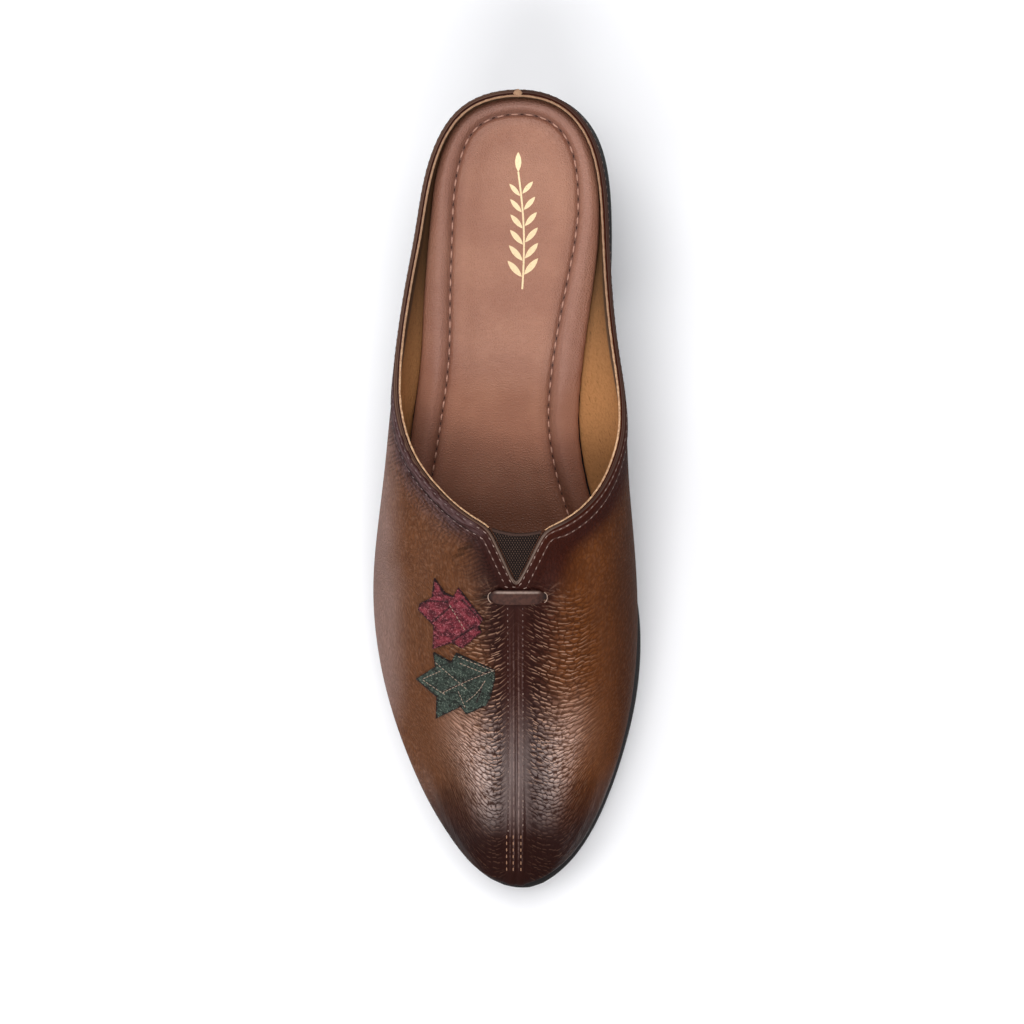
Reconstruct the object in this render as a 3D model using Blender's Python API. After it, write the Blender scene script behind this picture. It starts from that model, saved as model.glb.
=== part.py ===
"""A block heel mule for the right foot, women's size EU 38, built piece by piece as it is made.

Row frame: +Z up from the floor, +Y to the back of the heel, +X to the inner (big toe) side. The
origin is on the floor, under the middle of the shoe's box. All sizes below are in millimetres.

The shape of the last is held by ribs. A rib starts on the feather line, where the upper meets the
sole, swells out to the widest line, and arches over to the ridge, where the centre seam runs. The
opening for the foot and the notch for the elastic cut the ribs short.
"""

import math
from collections import namedtuple

import bmesh
import bpy
import numpy as np
from mathutils import Vector
from mathutils.bvhtree import BVHTree

MM = 0.001
GAP = 0.3  # clearance kept between pieces that touch

# ---------------------------------------------------------------- the last

Side = namedtuple("Side", "y feather ridge")
SIDE_VIEW = (
    # The side view, heel to toe: heights of the feather line and of the ridge above the floor. The
    # ridge is the one that the ribs aim for, and the toe rounds off below it.
    Side(126, 50.2, 90.0),
    Side(104, 49.0, 89.0),
    Side(84, 46.8, 87.5),
    Side(64, 42.8, 85.0),
    Side(44, 36.4, 81.5),
    Side(26, 28.6, 78.2),
    Side(8, 20.2, 74.2),
    Side(-8, 13.4, 70.2),
    Side(-24, 8.2, 63.4),
    Side(-38, 5.6, 56.4),
    Side(-52, 5.0, 49.2),
    Side(-66, 5.0, 42.2),
    Side(-82, 5.7, 34.9),
    Side(-98, 7.3, 28.9),
    Side(-112, 9.4, 24.9),
    Side(-126, 12.2, 22.4),
)

# Where each rib reaches the ridge, from the heel's middle rib to the toe's.
RIDGE_Y = (140, 126, 111, 96, 81, 66, 51, 37, 22.5, 7.5, -8.5, -26.2, -44, -60.5, -75.5, -88, -96.5, -101)

Rib = namedtuple("Rib", "x y z tuck edge pad full")
# x, y, z: the widest point. tuck: how far the feather line lies inside it. From the feather line,
# edge: how far the sole stands out, and pad: how far in the insole's edge is, at the least.
# full: 2 arches like an ellipse, more is squarer, less is steeper.
HEEL = Rib(5.0, 122.9, 61.5, -0.3, 0.9, 0.4, 1.5)
TOE = Rib(3.3, -122.2, 17.2, 2.2, 4.0, 2.4, 2.3)
INNER_SIDE = (
    Rib(18.0, 120.0, 61.2, -0.4, 1.0, 0.4, 1.5),
    Rib(27.3, 110.4, 60.4, -0.5, 1.3, 0.5, 1.5),
    Rib(31.5, 96.0, 58.9, 0.1, 1.6, 0.9, 1.5),
    Rib(32.6, 80.0, 57.2, 1.4, 2.5, 1.9, 1.5),
    Rib(33.6, 62.0, 55.2, 5.2, 4.4, 2.4, 1.5),
    Rib(35.6, 44.0, 53.4, 10.4, 3.6, 2.4, 1.5),
    Rib(38.1, 26.0, 51.6, 14.4, 2.0, 2.4, 1.55),
    Rib(38.9, 8.0, 44.0, 13.2, 2.2, 2.4, 1.7),
    Rib(40.3, -10.0, 34.5, 9.6, 3.0, 2.4, 1.9),
    Rib(41.5, -28.0, 27.5, 5.8, 4.5, 2.4, 2.05),
    Rib(41.5, -46.0, 23.8, 3.4, 4.2, 2.4, 2.2),
    Rib(39.7, -64.0, 21.8, 2.6, 3.8, 2.4, 2.3),
    Rib(35.9, -81.0, 20.3, 2.3, 3.3, 2.4, 2.35),
    Rib(30.3, -96.7, 19.3, 2.2, 3.3, 2.4, 2.35),
    Rib(22.8, -110.4, 18.4, 2.2, 3.5, 2.4, 2.3),
    Rib(13.2, -119.2, 18.0, 2.2, 4.2, 2.4, 2.3),
)
OUTER_SIDE = (
    Rib(-8.4, 119.9, 61.2, -0.3, 0.6, 0.4, 1.5),
    Rib(-17.3, 111.0, 60.4, -0.2, 0.5, 0.5, 1.5),
    Rib(-22.7, 97.0, 58.9, 0.8, 1.2, 1.6, 1.5),
    Rib(-25.7, 80.5, 57.2, 2.0, 2.1, 2.3, 1.5),
    Rib(-29.3, 62.0, 55.2, 4.1, 3.0, 2.4, 1.5),
    Rib(-32.0, 44.0, 53.4, 5.5, 2.8, 2.4, 1.5),
    Rib(-34.3, 26.0, 49.4, 4.8, 2.2, 2.4, 1.5),
    Rib(-36.7, 8.0, 41.0, 4.2, 2.4, 2.4, 1.6),
    Rib(-39.5, -10.0, 33.0, 3.6, 3.0, 2.4, 1.7),
    Rib(-41.4, -28.0, 27.0, 3.1, 3.4, 2.4, 1.8),
    Rib(-40.5, -46.0, 23.6, 2.8, 3.4, 2.4, 1.9),
    Rib(-36.9, -64.0, 21.6, 2.6, 3.3, 2.4, 2.0),
    Rib(-31.2, -81.0, 20.2, 2.4, 3.1, 2.4, 2.1),
    Rib(-24.2, -96.5, 19.2, 2.3, 3.0, 2.4, 2.2),
    Rib(-15.7, -110.0, 18.5, 2.2, 3.0, 2.4, 2.25),
    Rib(-7.3, -118.7, 18.0, 2.2, 3.2, 2.4, 2.3),
)
SEAM_X = (5.1, 3.3)  # the ridge's sideways place at the throat and at the toe
SEAM_Y = (-10.0, -122.6)

# The front of the opening seen from above, outer side to inner side. It leaves the widest line
# level with the arch and passes over the middle just behind the elastic.
OPENING = (
    (-34.6, 54.0), (-33.1, 44.0), (-32.5, 34.0), (-31.6, 25.0), (-29.2, 16.5), (-25.0, 9.2),
    (-18.6, 1.8), (-11.4, -4.6), (-3.1, -9.5), (5.0, -11.6), (13.7, -10.3), (21.8, -6.6),
    (28.8, -0.4), (33.9, 8.0), (36.9, 17.0), (38.3, 26.0), (38.4, 34.0), (37.2, 44.0),
)
NOTCH = ((-3.1, -9.5), (13.7, -10.3), (5.0, -27.4))  # the elastic's notch: two corners and its tip
RIM_SOFTENING = 0.9  # stations over which the rim's rise out of the widest line is eased

# How finely curves are worked out: along the lower and the upper part of a rib, in the search for
# the place where it is cut, and in each search by halving.
LOWER_STEPS = 24
UPPER_STEPS = 60
CUT_STEPS = 160
HALVINGS = 30

# ---------------------------------------------------------------- the pieces

WALL = 1.8  # leather and lining together
Band = namedtuple("Band", "rim near far end")
# Raised bands: the folded hem round the opening and the notch, and each side of the centre seam.
# The distances from the edge or the seam at which the band starts, is up, is still up, and ends.
HEM = Band(0.0, 0.7, 3.6, 4.5)
SEAM = Band(0.0, 0.6, 2.2, 3.0)
BAND_LIFT = Band(0.0, 0.55, 0.55, 0.0)
HEM_END = 4  # columns from the notch's tip over which the hem narrows to the seam
SEAM_END_Y = -114.0  # from here to the toe the mesh runs along the seam
WALL_ROWS = 10
BEND_WEIGHT = 13.0  # rows are closer where the wall bends: a radian counts as this much length

SOLE_THICK = 5.0
SOLE_ROUND = 0.8
SOLE_LEVEL = 0.12  # the underside lies flat on the floor where it is no higher than this

INSOLE_CLEAR = WALL + GAP  # from the upper's outside to the insole
Ring = namedtuple("Ring", "inset waist_inset height")
INSOLE_RINGS = (
    # The padded edge from its underside over the roll and the sewn channel to the flat of the foot.
    Ring(0.5, 0.5, 0.3),
    Ring(0.1, 0.1, 1.6),
    Ring(0.1, 0.1, 3.6),
    Ring(0.9, 1.0, 5.0),
    Ring(2.6, 3.2, 5.6),
    Ring(4.3, 5.6, 5.1),
    Ring(5.0, 6.6, 4.2),
    Ring(6.2, 8.0, 4.2),
    Ring(10.5, 12.0, 3.6),
)
INSOLE_MIDDLE = 3.3  # thickness down the middle
WAIST_Y, WAIST_REACH = 28.0, 42.0  # where the roll takes its waist inset, and how soon it fades

HEEL_BREAST_Y = 59.0
HEEL_CORNER = 5.0  # corner radius between breast and sides
HEEL_SHRINK = (3.2, 6.5, 1.5)  # at the floor: each side, back and breast are this far in
HEEL_LEVELS = (0.0, 0.12, 0.3, 0.55, 0.8, 1.0)
HEEL_INSET = 0.5  # from the sole's edge to the heel's, at the seat
HEEL_POINTS, CORNER_POINTS = 30, 4
HEEL_ROUND, TOP_ROUND = 0.5, 0.6
TOP_PIECE = 5.0

ELASTIC_DEPTH = (0.6, 1.6)  # front and back faces, below the leather's surface
ELASTIC_GRID = (8, 10)
ELASTIC_HEM_DIP = 1.2
ELASTIC_GAP = 0.45  # to the notch's sides
ELASTIC_TIP = 0.96  # share of the notch's depth that the elastic fills
TAB_HALF_LENGTH = 9.4
TAB_CENTRE_Y = -30.6
TAB_WIDTH = 4.4
TAB_HEIGHT = 3.0
TAB_RISE = 0.6  # how much the tab arches over the seam
TAB_END = 0.45  # how slim its ends are, as a share of its middle
TAB_GRID = (18, 12)  # steps along it and round it
PATCH = (0.35, 1.25)  # under and upper faces of the suede patches, above the leather
PATCH_STEP = 4.0
BLOOM = (
    (-19.9, -24.8), (-16.9, -29.2), (-14.3, -30.3), (-12.6, -27.6), (-5.3, -37.2), (-6.6, -39.2),
    (-5.9, -41.2), (-12.0, -46.3), (-14.8, -44.5), (-21.0, -46.6), (-20.5, -39.3), (-25.2, -34.5),
    (-24.6, -32.6), (-20.8, -30.7),
)
LEAF = (
    (-20.9, -47.8), (-15.6, -50.6), (-13.9, -47.8), (-2.2, -53.0), (-2.1, -55.8), (-3.6, -61.4),
    (-5.0, -64.0), (-11.2, -67.0), (-12.9, -64.6), (-20.7, -68.6), (-20.3, -61.6), (-26.6, -56.2),
    (-20.4, -52.2),
)

COLUMNS = (32, 4, 18)  # ribs from heel to notch corner, to the notch's tip, and along the seam
SOLE_COLUMNS = 44
VAMP_FROM = 7  # the rib at which the surface for the patches and the elastic begins
VAMP_GRID = (170, 70)  # ribs of that surface on each side, and points on each rib


# ---------------------------------------------------------------- curves


class Spline:
    """A smooth curve through rows of numbers. Row i is at parameter i; a closed one joins its ends."""

    def __init__(self, rows, closed=False):
        self.rows = np.array(rows, float)
        self.closed = closed
        count = len(self.rows)
        matrix = np.zeros((count, count))
        right = np.zeros_like(self.rows)
        for i in range(count):
            before, after = i - 1, (i + 1) % count
            if closed or 0 < i < count - 1:
                matrix[i, before] = matrix[i, after] = 1
                matrix[i, i] = 4
                right[i] = 3 * (self.rows[after] - self.rows[before])
            else:
                near = 1 if i == 0 else count - 2
                matrix[i, i], matrix[i, near] = 2, 1
                right[i] = 3 * (self.rows[max(i, near)] - self.rows[min(i, near)])
        self.slopes = np.linalg.solve(matrix, right)

    def __call__(self, at):
        count = len(self.rows)
        at = at % count if self.closed else min(max(at, 0.0), count - 1)
        i = min(int(at), count - 1 if self.closed else count - 2)
        t, j = at - i, (i + 1) % count
        return (
            (1 + 2 * t) * (1 - t) ** 2 * self.rows[i]
            + t * (1 - t) ** 2 * self.slopes[i]
            + t * t * (3 - 2 * t) * self.rows[j]
            + t * t * (t - 1) * self.slopes[j]
        )


def sampled(spline, steps):
    return np.array([spline(t) for t in np.linspace(0, len(spline.rows) - 1, steps)])


PROFILE = sampled(Spline(SIDE_VIEW[::-1]), 900)
TOE_STATION = len(RIDGE_Y) - 1
AROUND = Spline(
    [(*rib, RIDGE_Y[i]) for i, rib in enumerate((HEEL, *INNER_SIDE, TOE))]
    + [(*rib, RIDGE_Y[TOE_STATION - 1 - i]) for i, rib in enumerate(OUTER_SIDE[::-1])],
    closed=True,
)
OPENING_EDGE = sampled(Spline(OPENING), 400)
BEHIND = 300.0  # the open area runs on past the heel and both sides


def feather_height(y):
    return float(np.interp(y, PROFILE[:, 0], PROFILE[:, 1]))


def ridge_height(y):
    return float(np.interp(y, PROFILE[:, 0], PROFILE[:, 2]))


def seam_x(y):
    return SEAM_X[0] + (SEAM_X[1] - SEAM_X[0]) * (y - SEAM_Y[0]) / (SEAM_Y[1] - SEAM_Y[0])


def station(side, k):
    """The parameter round the shoe of station k, counted from the heel along the inner or outer side."""
    return k if side == "inner" else -k


def rib_at(at):
    """The rib at a parameter round the shoe, and where it reaches the ridge."""
    row = AROUND(at)
    return Rib(*row[:-1]), row[-1]


def inward(at):
    """Unit vector in plan, across the widest line and into the shoe."""
    step = 1e-3
    along = (AROUND(at + step) - AROUND(at - step))[:2]
    turned = np.array((along[1], -along[0]))
    return turned / np.linalg.norm(turned)


def feather_point(at):
    """The feather line in plan."""
    rib, _ = rib_at(at)
    return np.array((rib.x, rib.y)) + inward(at) * rib.tuck


def inside(points, outline):
    """Which of the points in plan are within an outline that has no side level with the x axis."""
    x, y = points[:, :1], points[:, 1:]
    ends = np.roll(outline, -1, axis=0)
    crosses = (outline[:, 1] > y) != (ends[:, 1] > y)
    slope = (ends[:, 0] - outline[:, 0]) / (ends[:, 1] - outline[:, 1])
    reach = outline[:, 0] + (y - outline[:, 1]) * slope
    return (crosses & (x < reach)).sum(axis=1) % 2 == 1


OPEN_CORNERS = ((BEHIND, OPENING[0][1]), (BEHIND, BEHIND), (-BEHIND, 2 * BEHIND), (-BEHIND, OPENING[-1][1]))
OPEN_AREA = np.vstack((OPENING_EDGE, OPEN_CORNERS))
NOTCH_AREA = np.array(NOTCH)


def rib_plan(at, share):
    """Plan point of a rib at this share of the way out from the ridge to the widest line."""
    rib, root_y = rib_at(at)
    root = np.array((seam_x(root_y), root_y))
    return root + (np.array((rib.x, rib.y)) - root) * share


def cut_share(at):
    """Where the opening or the notch cuts a rib: 1 at the widest line, 0 where it reaches the ridge."""
    root, wide = rib_plan(at, 0), rib_plan(at, 1)

    def is_open(shares):
        points = root + np.outer(shares, wide - root)
        return inside(points, OPEN_AREA) | inside(points, NOTCH_AREA)

    shares = np.linspace(1, 0, CUT_STEPS + 1)
    found = np.flatnonzero(is_open(shares))
    if not len(found):
        return 0.0
    low, high = shares[found[0]], shares[max(0, found[0] - 1)]
    for _ in range(HALVINGS):
        middle = (low + high) / 2
        low, high = (middle, high) if is_open([middle])[0] else (low, middle)
    return low


def rise(share, full):
    """How far up from the widest line to the ridge a rib is, at a share of the way out."""
    return max(0.0, 1 - share**full) ** (1 / full)


def rim_share(at):
    """The share at which a rib ends at the rim: its cut, eased where the rim leaves the widest line."""
    full = rib_at(at)[0].full
    span = RIM_SOFTENING * (1 - rise(cut_share(at), full))
    heights = [rise(cut_share(at + span * step), full) for step in np.linspace(-1, 1, 9)]
    return max(0.0, 1 - np.mean(heights) ** full) ** (1 / full)


def lower_rib(at):
    """Points of a rib from the feather line out to the widest line."""
    rib, _ = rib_at(at)
    wide, foot = np.array((rib.x, rib.y)), feather_point(at)
    foot_z = feather_height(foot[1])
    points = []
    for drop in np.linspace(1, 0, LOWER_STEPS):
        plan = wide + (foot - wide) * drop**2
        points.append((*plan, rib.z + (foot_z - rib.z) * drop))
    return points


def over_rib(at, plan, share):
    """The point of a rib above a place in plan."""
    rib, _ = rib_at(at)
    return (*plan, rib.z + (ridge_height(plan[1]) - rib.z) * rise(share, rib.full))


def shares_from(share, full):
    """Shares from the widest line to the given one, close together where the rib is steep."""
    end = math.acos(min(1.0, share ** (full / 2)))
    return [max(0.0, math.cos(angle)) ** (2 / full) for angle in np.linspace(0, end, UPPER_STEPS)[1:]]


def rib_curve(at, share):
    """Points of a rib from the feather line up to the share where it is cut."""
    points = lower_rib(at)
    if share < 1:
        full = rib_at(at)[0].full
        points += [over_rib(at, rib_plan(at, part), part) for part in shares_from(share, full)]
    return np.array(points)


def rib_through(side, point):
    """The parameter of the vamp's rib that passes over a place in plan, and the share there."""
    point = np.array(point)

    def turn(k):
        root, wide = rib_plan(station(side, k), 0), rib_plan(station(side, k), 1)
        line, reach = wide - root, point - root
        return line[0] * reach[1] - line[1] * reach[0]

    low, high = float(VAMP_FROM), float(TOE_STATION)
    sign = turn(low) > 0
    for _ in range(HALVINGS):
        middle = (low + high) / 2
        low, high = (middle, high) if (turn(middle) > 0) == sign else (low, middle)
    at = station(side, (low + high) / 2)
    root, wide = rib_plan(at, 0), rib_plan(at, 1)
    return at, float(np.linalg.norm(point - root) / np.linalg.norm(wide - root))


def beside_seam(side, y, offset):
    """A place in plan at this distance from the centre seam."""
    return np.array((seam_x(y) + (offset if side == "inner" else -offset), y))


def lane(side, offset):
    """Points beside the seam at the toe, from the feather line up to where the ribs' columns end."""
    low, high = TOE_STATION - 3.0, float(TOE_STATION)
    for _ in range(HALVINGS):
        middle = (low + high) / 2
        wide = rib_plan(station(side, middle), 1)
        beyond = abs(wide[0] - seam_x(wide[1])) > offset
        low, high = (middle, high) if beyond else (low, middle)
    at = station(side, (low + high) / 2)
    points = lower_rib(at)
    wide, start = rib_plan(at, 1), beside_seam(side, SEAM_END_Y, offset)
    for part in shares_from(0.0, rib_at(at)[0].full):
        plan = start + (wide - start) * part
        points.append(over_rib(*rib_over(side, plan)))
    return np.array(points)


def rib_over(side, plan):
    """What over_rib needs for a place in plan."""
    at, share = rib_through(side, plan)
    return at, plan, min(1.0, share)


def lengths_along(points):
    """The length of a polyline from its first point to each of its points."""
    steps = np.linalg.norm(np.diff(points, axis=0), axis=1)
    return np.concatenate(((0.0,), np.cumsum(steps)))


def at_distances(points, distances):
    """Points of a polyline at these distances back from its last point."""
    along = lengths_along(points)
    back = along[-1] - np.array(distances)
    return np.stack([np.interp(back, along, points[:, i]) for i in range(3)], axis=1)


def wall_rows(curve, start):
    """Points of the wall's rows, from this distance behind the curve's end to its first point."""
    along = lengths_along(curve)
    headings = np.diff(curve, axis=0) / np.diff(along)[:, None]
    bends = np.arccos(np.clip((headings[1:] * headings[:-1]).sum(axis=1), -1, 1))
    effort = along + BEND_WEIGHT * np.concatenate(((0.0,), np.cumsum(bends), (bends.sum(),)))
    first = np.interp(along[-1] - start, along, effort)
    places = np.interp(np.linspace(first, 0, WALL_ROWS + 1), effort, along)
    return at_distances(curve, along[-1] - places)


# ---------------------------------------------------------------- Blender objects


def material(name, colour, roughness, metallic=0.0):
    made = bpy.data.materials.new(name)
    made.use_nodes = True
    shader = made.node_tree.nodes["Principled BSDF"]
    shader.inputs["Base Color"].default_value = (*colour, 1.0)
    shader.inputs["Roughness"].default_value = roughness
    shader.inputs["Metallic"].default_value = metallic
    return made


def solid(name, points, faces, finish, smooth_under=40):
    """A named object from points in millimetres and faces; its normals are made to point out."""
    mesh = bpy.data.meshes.new(name)
    work = bmesh.new()
    corners = [work.verts.new(Vector(p) * MM) for p in points]
    for face in faces:
        if len(set(face)) > 2:
            work.faces.new([corners[i] for i in dict.fromkeys(face)])
    bmesh.ops.recalc_face_normals(work, faces=work.faces)
    work.to_mesh(mesh)
    work.free()
    mesh.shade_smooth()
    mesh.set_sharp_from_angle(angle=math.radians(smooth_under))
    made = bpy.data.objects.new(name, mesh)
    made.data.materials.append(finish)
    bpy.context.scene.collection.objects.link(made)
    return made


def rounded_edges(obj, width, segments=2, angle=50):
    bevel = obj.modifiers.new("rounded edges", "BEVEL")
    bevel.width = width * MM
    bevel.segments = segments
    bevel.limit_method = "ANGLE"
    bevel.angle_limit = math.radians(angle)


# ---------------------------------------------------------------- upper


def notch_columns(side, corner):
    """Stations of the columns, evenly along the hem from heel to notch, and on to the notch's tip."""
    turn = abs(rib_through(side, corner)[0])
    tip = abs(rib_through(side, beside_seam(side, NOTCH[2][1], SEAM.end))[0])
    dense = np.linspace(0, turn, CUT_STEPS)
    edge = np.array([rib_curve(at, rim_share(at))[-1] for at in (station(side, k) for k in dense)])
    along = lengths_along(edge)
    even = np.interp(np.linspace(0, along[-1], COLUMNS[0] + 1), along, dense)
    return np.concatenate((even, np.linspace(turn, tip, COLUMNS[1] + 1)[1:-1]))


def hem_column(side, k):
    """The points of one column from the hem down to the feather line."""
    at = station(side, k)
    curve = rib_curve(at, rim_share(at))
    return np.vstack((at_distances(curve, HEM), wall_rows(curve, HEM.end)[1:]))


def seam_column(side, y, band):
    """The points of one column from the seam, across its raised band and down to the feather line."""
    across = [over_rib(*rib_over(side, beside_seam(side, y, offset))) for offset in band]
    curve = rib_curve(*rib_through(side, beside_seam(side, y, band.end)))
    return np.vstack((across, wall_rows(curve, 0)[1:]))


def band_at(column):
    """The raised band at this many columns from the notch's tip."""
    share = min(1.0, column / HEM_END)
    return Band(*(wide + (narrow - wide) * share for wide, narrow in zip(HEM, SEAM)))



class Skin:
    """The upper's outside as it is built up: points, their lift, and the quads between them."""

    def __init__(self):
        self.points, self.lifts, self.quads, self.rims = [], [], [], []

    def add(self, point, lift=0.0):
        self.points.append(point)
        self.lifts.append(lift)
        return len(self.points) - 1

    def weave(self, columns, flip):
        """Quads between columns of point numbers."""
        for left, right in zip(columns, columns[1:]):
            for r in range(len(left) - 1):
                quad = [left[r], left[r + 1], right[r + 1], right[r]]
                self.quads.append(quad[::-1] if flip else quad)


Shared = namedtuple("Shared", "heel seam toe")  # point numbers on the lines where two halves meet


def half_skin(skin, side, corner, shared=None):
    """Adds one side of the upper; the second side is given the lines that it shares with the first."""
    hem = [hem_column(side, k) for k in notch_columns(side, corner)]
    seam_ys = np.linspace(NOTCH[2][1], SEAM_END_Y, COLUMNS[2] + 1)[:-1]
    seam = [seam_column(side, y, band_at(c)) for c, y in enumerate(seam_ys)]
    lifts = [*BAND_LIFT, *[0.0] * WALL_ROWS]
    columns = []
    for c, rows in enumerate(hem + seam):
        if shared and c == 0:
            columns.append(shared.heel)
            continue
        known = [shared.seam[c - len(hem)]] if shared and c >= len(hem) else []
        added = [skin.add(p, lift) for p, lift in list(zip(rows, lifts))[len(known) :]]
        columns.append(known + added)
    lanes = []
    for offset, lift in zip(SEAM, BAND_LIFT):
        if shared and offset == 0:
            lanes.append(shared.toe)
        else:
            lanes.append([skin.add(p, lift) for p in wall_rows(lane(side, offset), 0)])
    columns.append([run[0] for run in lanes] + lanes[-1][1:])
    skin.weave(columns, side == "outer")
    skin.weave(lanes[::-1], side == "outer")
    feet = [column[-1] for column in columns] + [run[-1] for run in lanes[-2::-1]]
    tops = [column[0] for column in columns[: len(hem) + 1]]
    for line in (feet, tops):
        skin.rims += list(zip(line, line[1:]))
    return Shared(columns[0], [column[0] for column in columns[len(hem) :]], lanes[0])


def upper_skin():
    skin = Skin()
    shared = half_skin(skin, "inner", NOTCH[1])
    half_skin(skin, "outer", NOTCH[0], shared)
    return np.array(skin.points), skin.quads, np.array(skin.lifts), skin.rims


def normals_of(points, quads):
    """Unit normals at the points, area weighted, pointing out of the shoe."""
    normals = np.zeros_like(points)
    for quad in quads:
        a, b, c, d = (points[i] for i in quad)
        face = np.cross(c - a, d - b)
        for i in quad:
            normals[i] += face
    normals /= np.linalg.norm(normals, axis=1)[:, None]
    highest = points[:, 2].argmax()
    return normals if normals[highest, 2] > 0 else -normals


def make_upper(finish):
    """One hollow wall, open at the collar, the notch and underneath, with its border and seam raised."""
    points, quads, lifts, rims = upper_skin()
    normals = normals_of(points, quads)
    outside = points + normals * lifts[:, None]
    inside_wall = points - normals * WALL
    for face in (outside, inside_wall):
        face[:, 2] = np.maximum(face[:, 2], [feather_height(y) for y in face[:, 1]])
    count = len(points)
    faces = [list(q) for q in quads]
    faces += [[i + count for i in q[::-1]] for q in quads]
    faces += [[a, b, b + count, a + count] for a, b in rims]
    return solid("upper", np.vstack((outside, inside_wall)), faces, finish)


# ---------------------------------------------------------------- pieces laid on the upper


def vamp_surface():
    """A fine mesh of the vamp without opening or notch, for pieces that lie on it or fill the notch."""
    ribs, rows = VAMP_GRID
    stations = np.linspace(VAMP_FROM, TOE_STATION, ribs)
    loops = [station("inner", k) for k in stations] + [station("outer", k) for k in stations[::-1]]
    points, faces = [], []
    for at in loops:
        curve = rib_curve(at, 0.0)
        points.extend(at_distances(curve, np.linspace(0, lengths_along(curve)[-1], rows)))
    for c in range(len(loops) - 1):
        for r in range(rows - 1):
            a = c * rows + r
            faces.append((a, a + 1, a + rows + 1, a + rows))
    return BVHTree.FromPolygons([tuple(p) for p in points], faces)


VAMP = vamp_surface()
SKY = 200.0  # above the whole shoe
SPREAD = 0.8  # a normal is the mean of five, this far apart


def on_vamp(x, y, lift):
    """The point above (x, y) on the vamp, raised along the surface's normal by lift."""
    normal = Vector((0, 0, 0))
    for dx, dy in ((0, 0), (SPREAD, 0), (-SPREAD, 0), (0, SPREAD), (0, -SPREAD)):
        _, facing, _, _ = VAMP.ray_cast(Vector((x + dx, y + dy, SKY)), Vector((0, 0, -1)))
        normal += facing if facing.z > 0 else -facing
    place, _, _, _ = VAMP.ray_cast(Vector((x, y, SKY)), Vector((0, 0, -1)))
    return place + normal.normalized() * lift


def shrunk_notch():
    """The notch's corners moved in, so that each side keeps its gap to the leather."""
    corners = [np.array(p) for p in NOTCH]
    sides = [np.linalg.norm(corners[(i + 1) % 3] - corners[(i + 2) % 3]) for i in range(3)]
    a, b, c = corners
    area = abs((b[0] - a[0]) * (c[1] - a[1]) - (b[1] - a[1]) * (c[0] - a[0])) / 2
    centre = sum(side * corner for side, corner in zip(sides, corners)) / sum(sides)
    radius = 2 * area / sum(sides)
    return [centre + (corner - centre) * (1 - ELASTIC_GAP / radius) for corner in corners]


def elastic_outline(across, down):
    """A point of the elastic in plan: across 0 to 1 along its hem, down 0 at the hem and 1 at the tip."""
    left, right, tip = shrunk_notch()
    hem = left + (right - left) * across - np.array((0, ELASTIC_HEM_DIP * math.sin(math.pi * across)))
    return hem + (tip - hem) * down


def make_elastic(finish):
    """The woven elastic, set just below the leather and clear of the notch's two sides."""
    across_steps, down_steps = ELASTIC_GRID
    points, faces = [], []
    for depth in ELASTIC_DEPTH:
        for j in range(down_steps):
            for i in range(across_steps):
                place = elastic_outline(i / (across_steps - 1), ELASTIC_TIP * j / (down_steps - 1))
                points.append(on_vamp(*place, -depth))
    layer = across_steps * down_steps

    def corner(i, j, back=0):
        return back * layer + j * across_steps + i

    for j in range(down_steps - 1):
        for i in range(across_steps - 1):
            quad = [corner(i, j), corner(i + 1, j), corner(i + 1, j + 1), corner(i, j + 1)]
            faces += [quad, [v + layer for v in quad[::-1]]]
    for j in range(down_steps - 1):
        for i in (0, across_steps - 1):
            faces.append([corner(i, j), corner(i, j + 1), corner(i, j + 1, 1), corner(i, j, 1)])
    for i in range(across_steps - 1):
        for j in (0, down_steps - 1):
            faces.append([corner(i, j), corner(i + 1, j), corner(i + 1, j, 1), corner(i, j, 1)])
    return solid("elastic", points, faces, finish)


def make_tab(finish):
    """The rolled leather tab that bridges the centre seam and dives into a slit at each end."""
    steps, sides = TAB_GRID
    middle_x = seam_x(TAB_CENTRE_Y)
    points, faces = [], []
    for i in range(steps + 1):
        along = -1 + 2 * i / steps
        x = middle_x + along * TAB_HALF_LENGTH
        slim = TAB_END + (1 - TAB_END) * (1 - abs(along) ** 5) ** 0.5
        half_width, half_height = TAB_WIDTH / 2 * slim, TAB_HEIGHT / 2 * slim
        clear = GAP + TAB_RISE * (1 - along**4)
        base = on_vamp(x, TAB_CENTRE_Y, 0.0)
        up = (on_vamp(x, TAB_CENTRE_Y, 1.0) - base).normalized()
        forward = Vector((0, 1, 0)) - up * up.y
        forward.normalize()
        centre = base + up * (clear + half_height)
        for j in range(sides):
            turn = 2 * math.pi * j / sides
            points.append(centre + forward * half_width * math.cos(turn) + up * half_height * math.sin(turn))
    for i in range(steps):
        for j in range(sides):
            a, b = i * sides + j, i * sides + (j + 1) % sides
            faces.append([a, b, b + sides, a + sides])
    faces.append(list(range(sides)))
    faces.append([steps * sides + j for j in range(sides)])
    return solid("tab", points, faces, finish)


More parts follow.
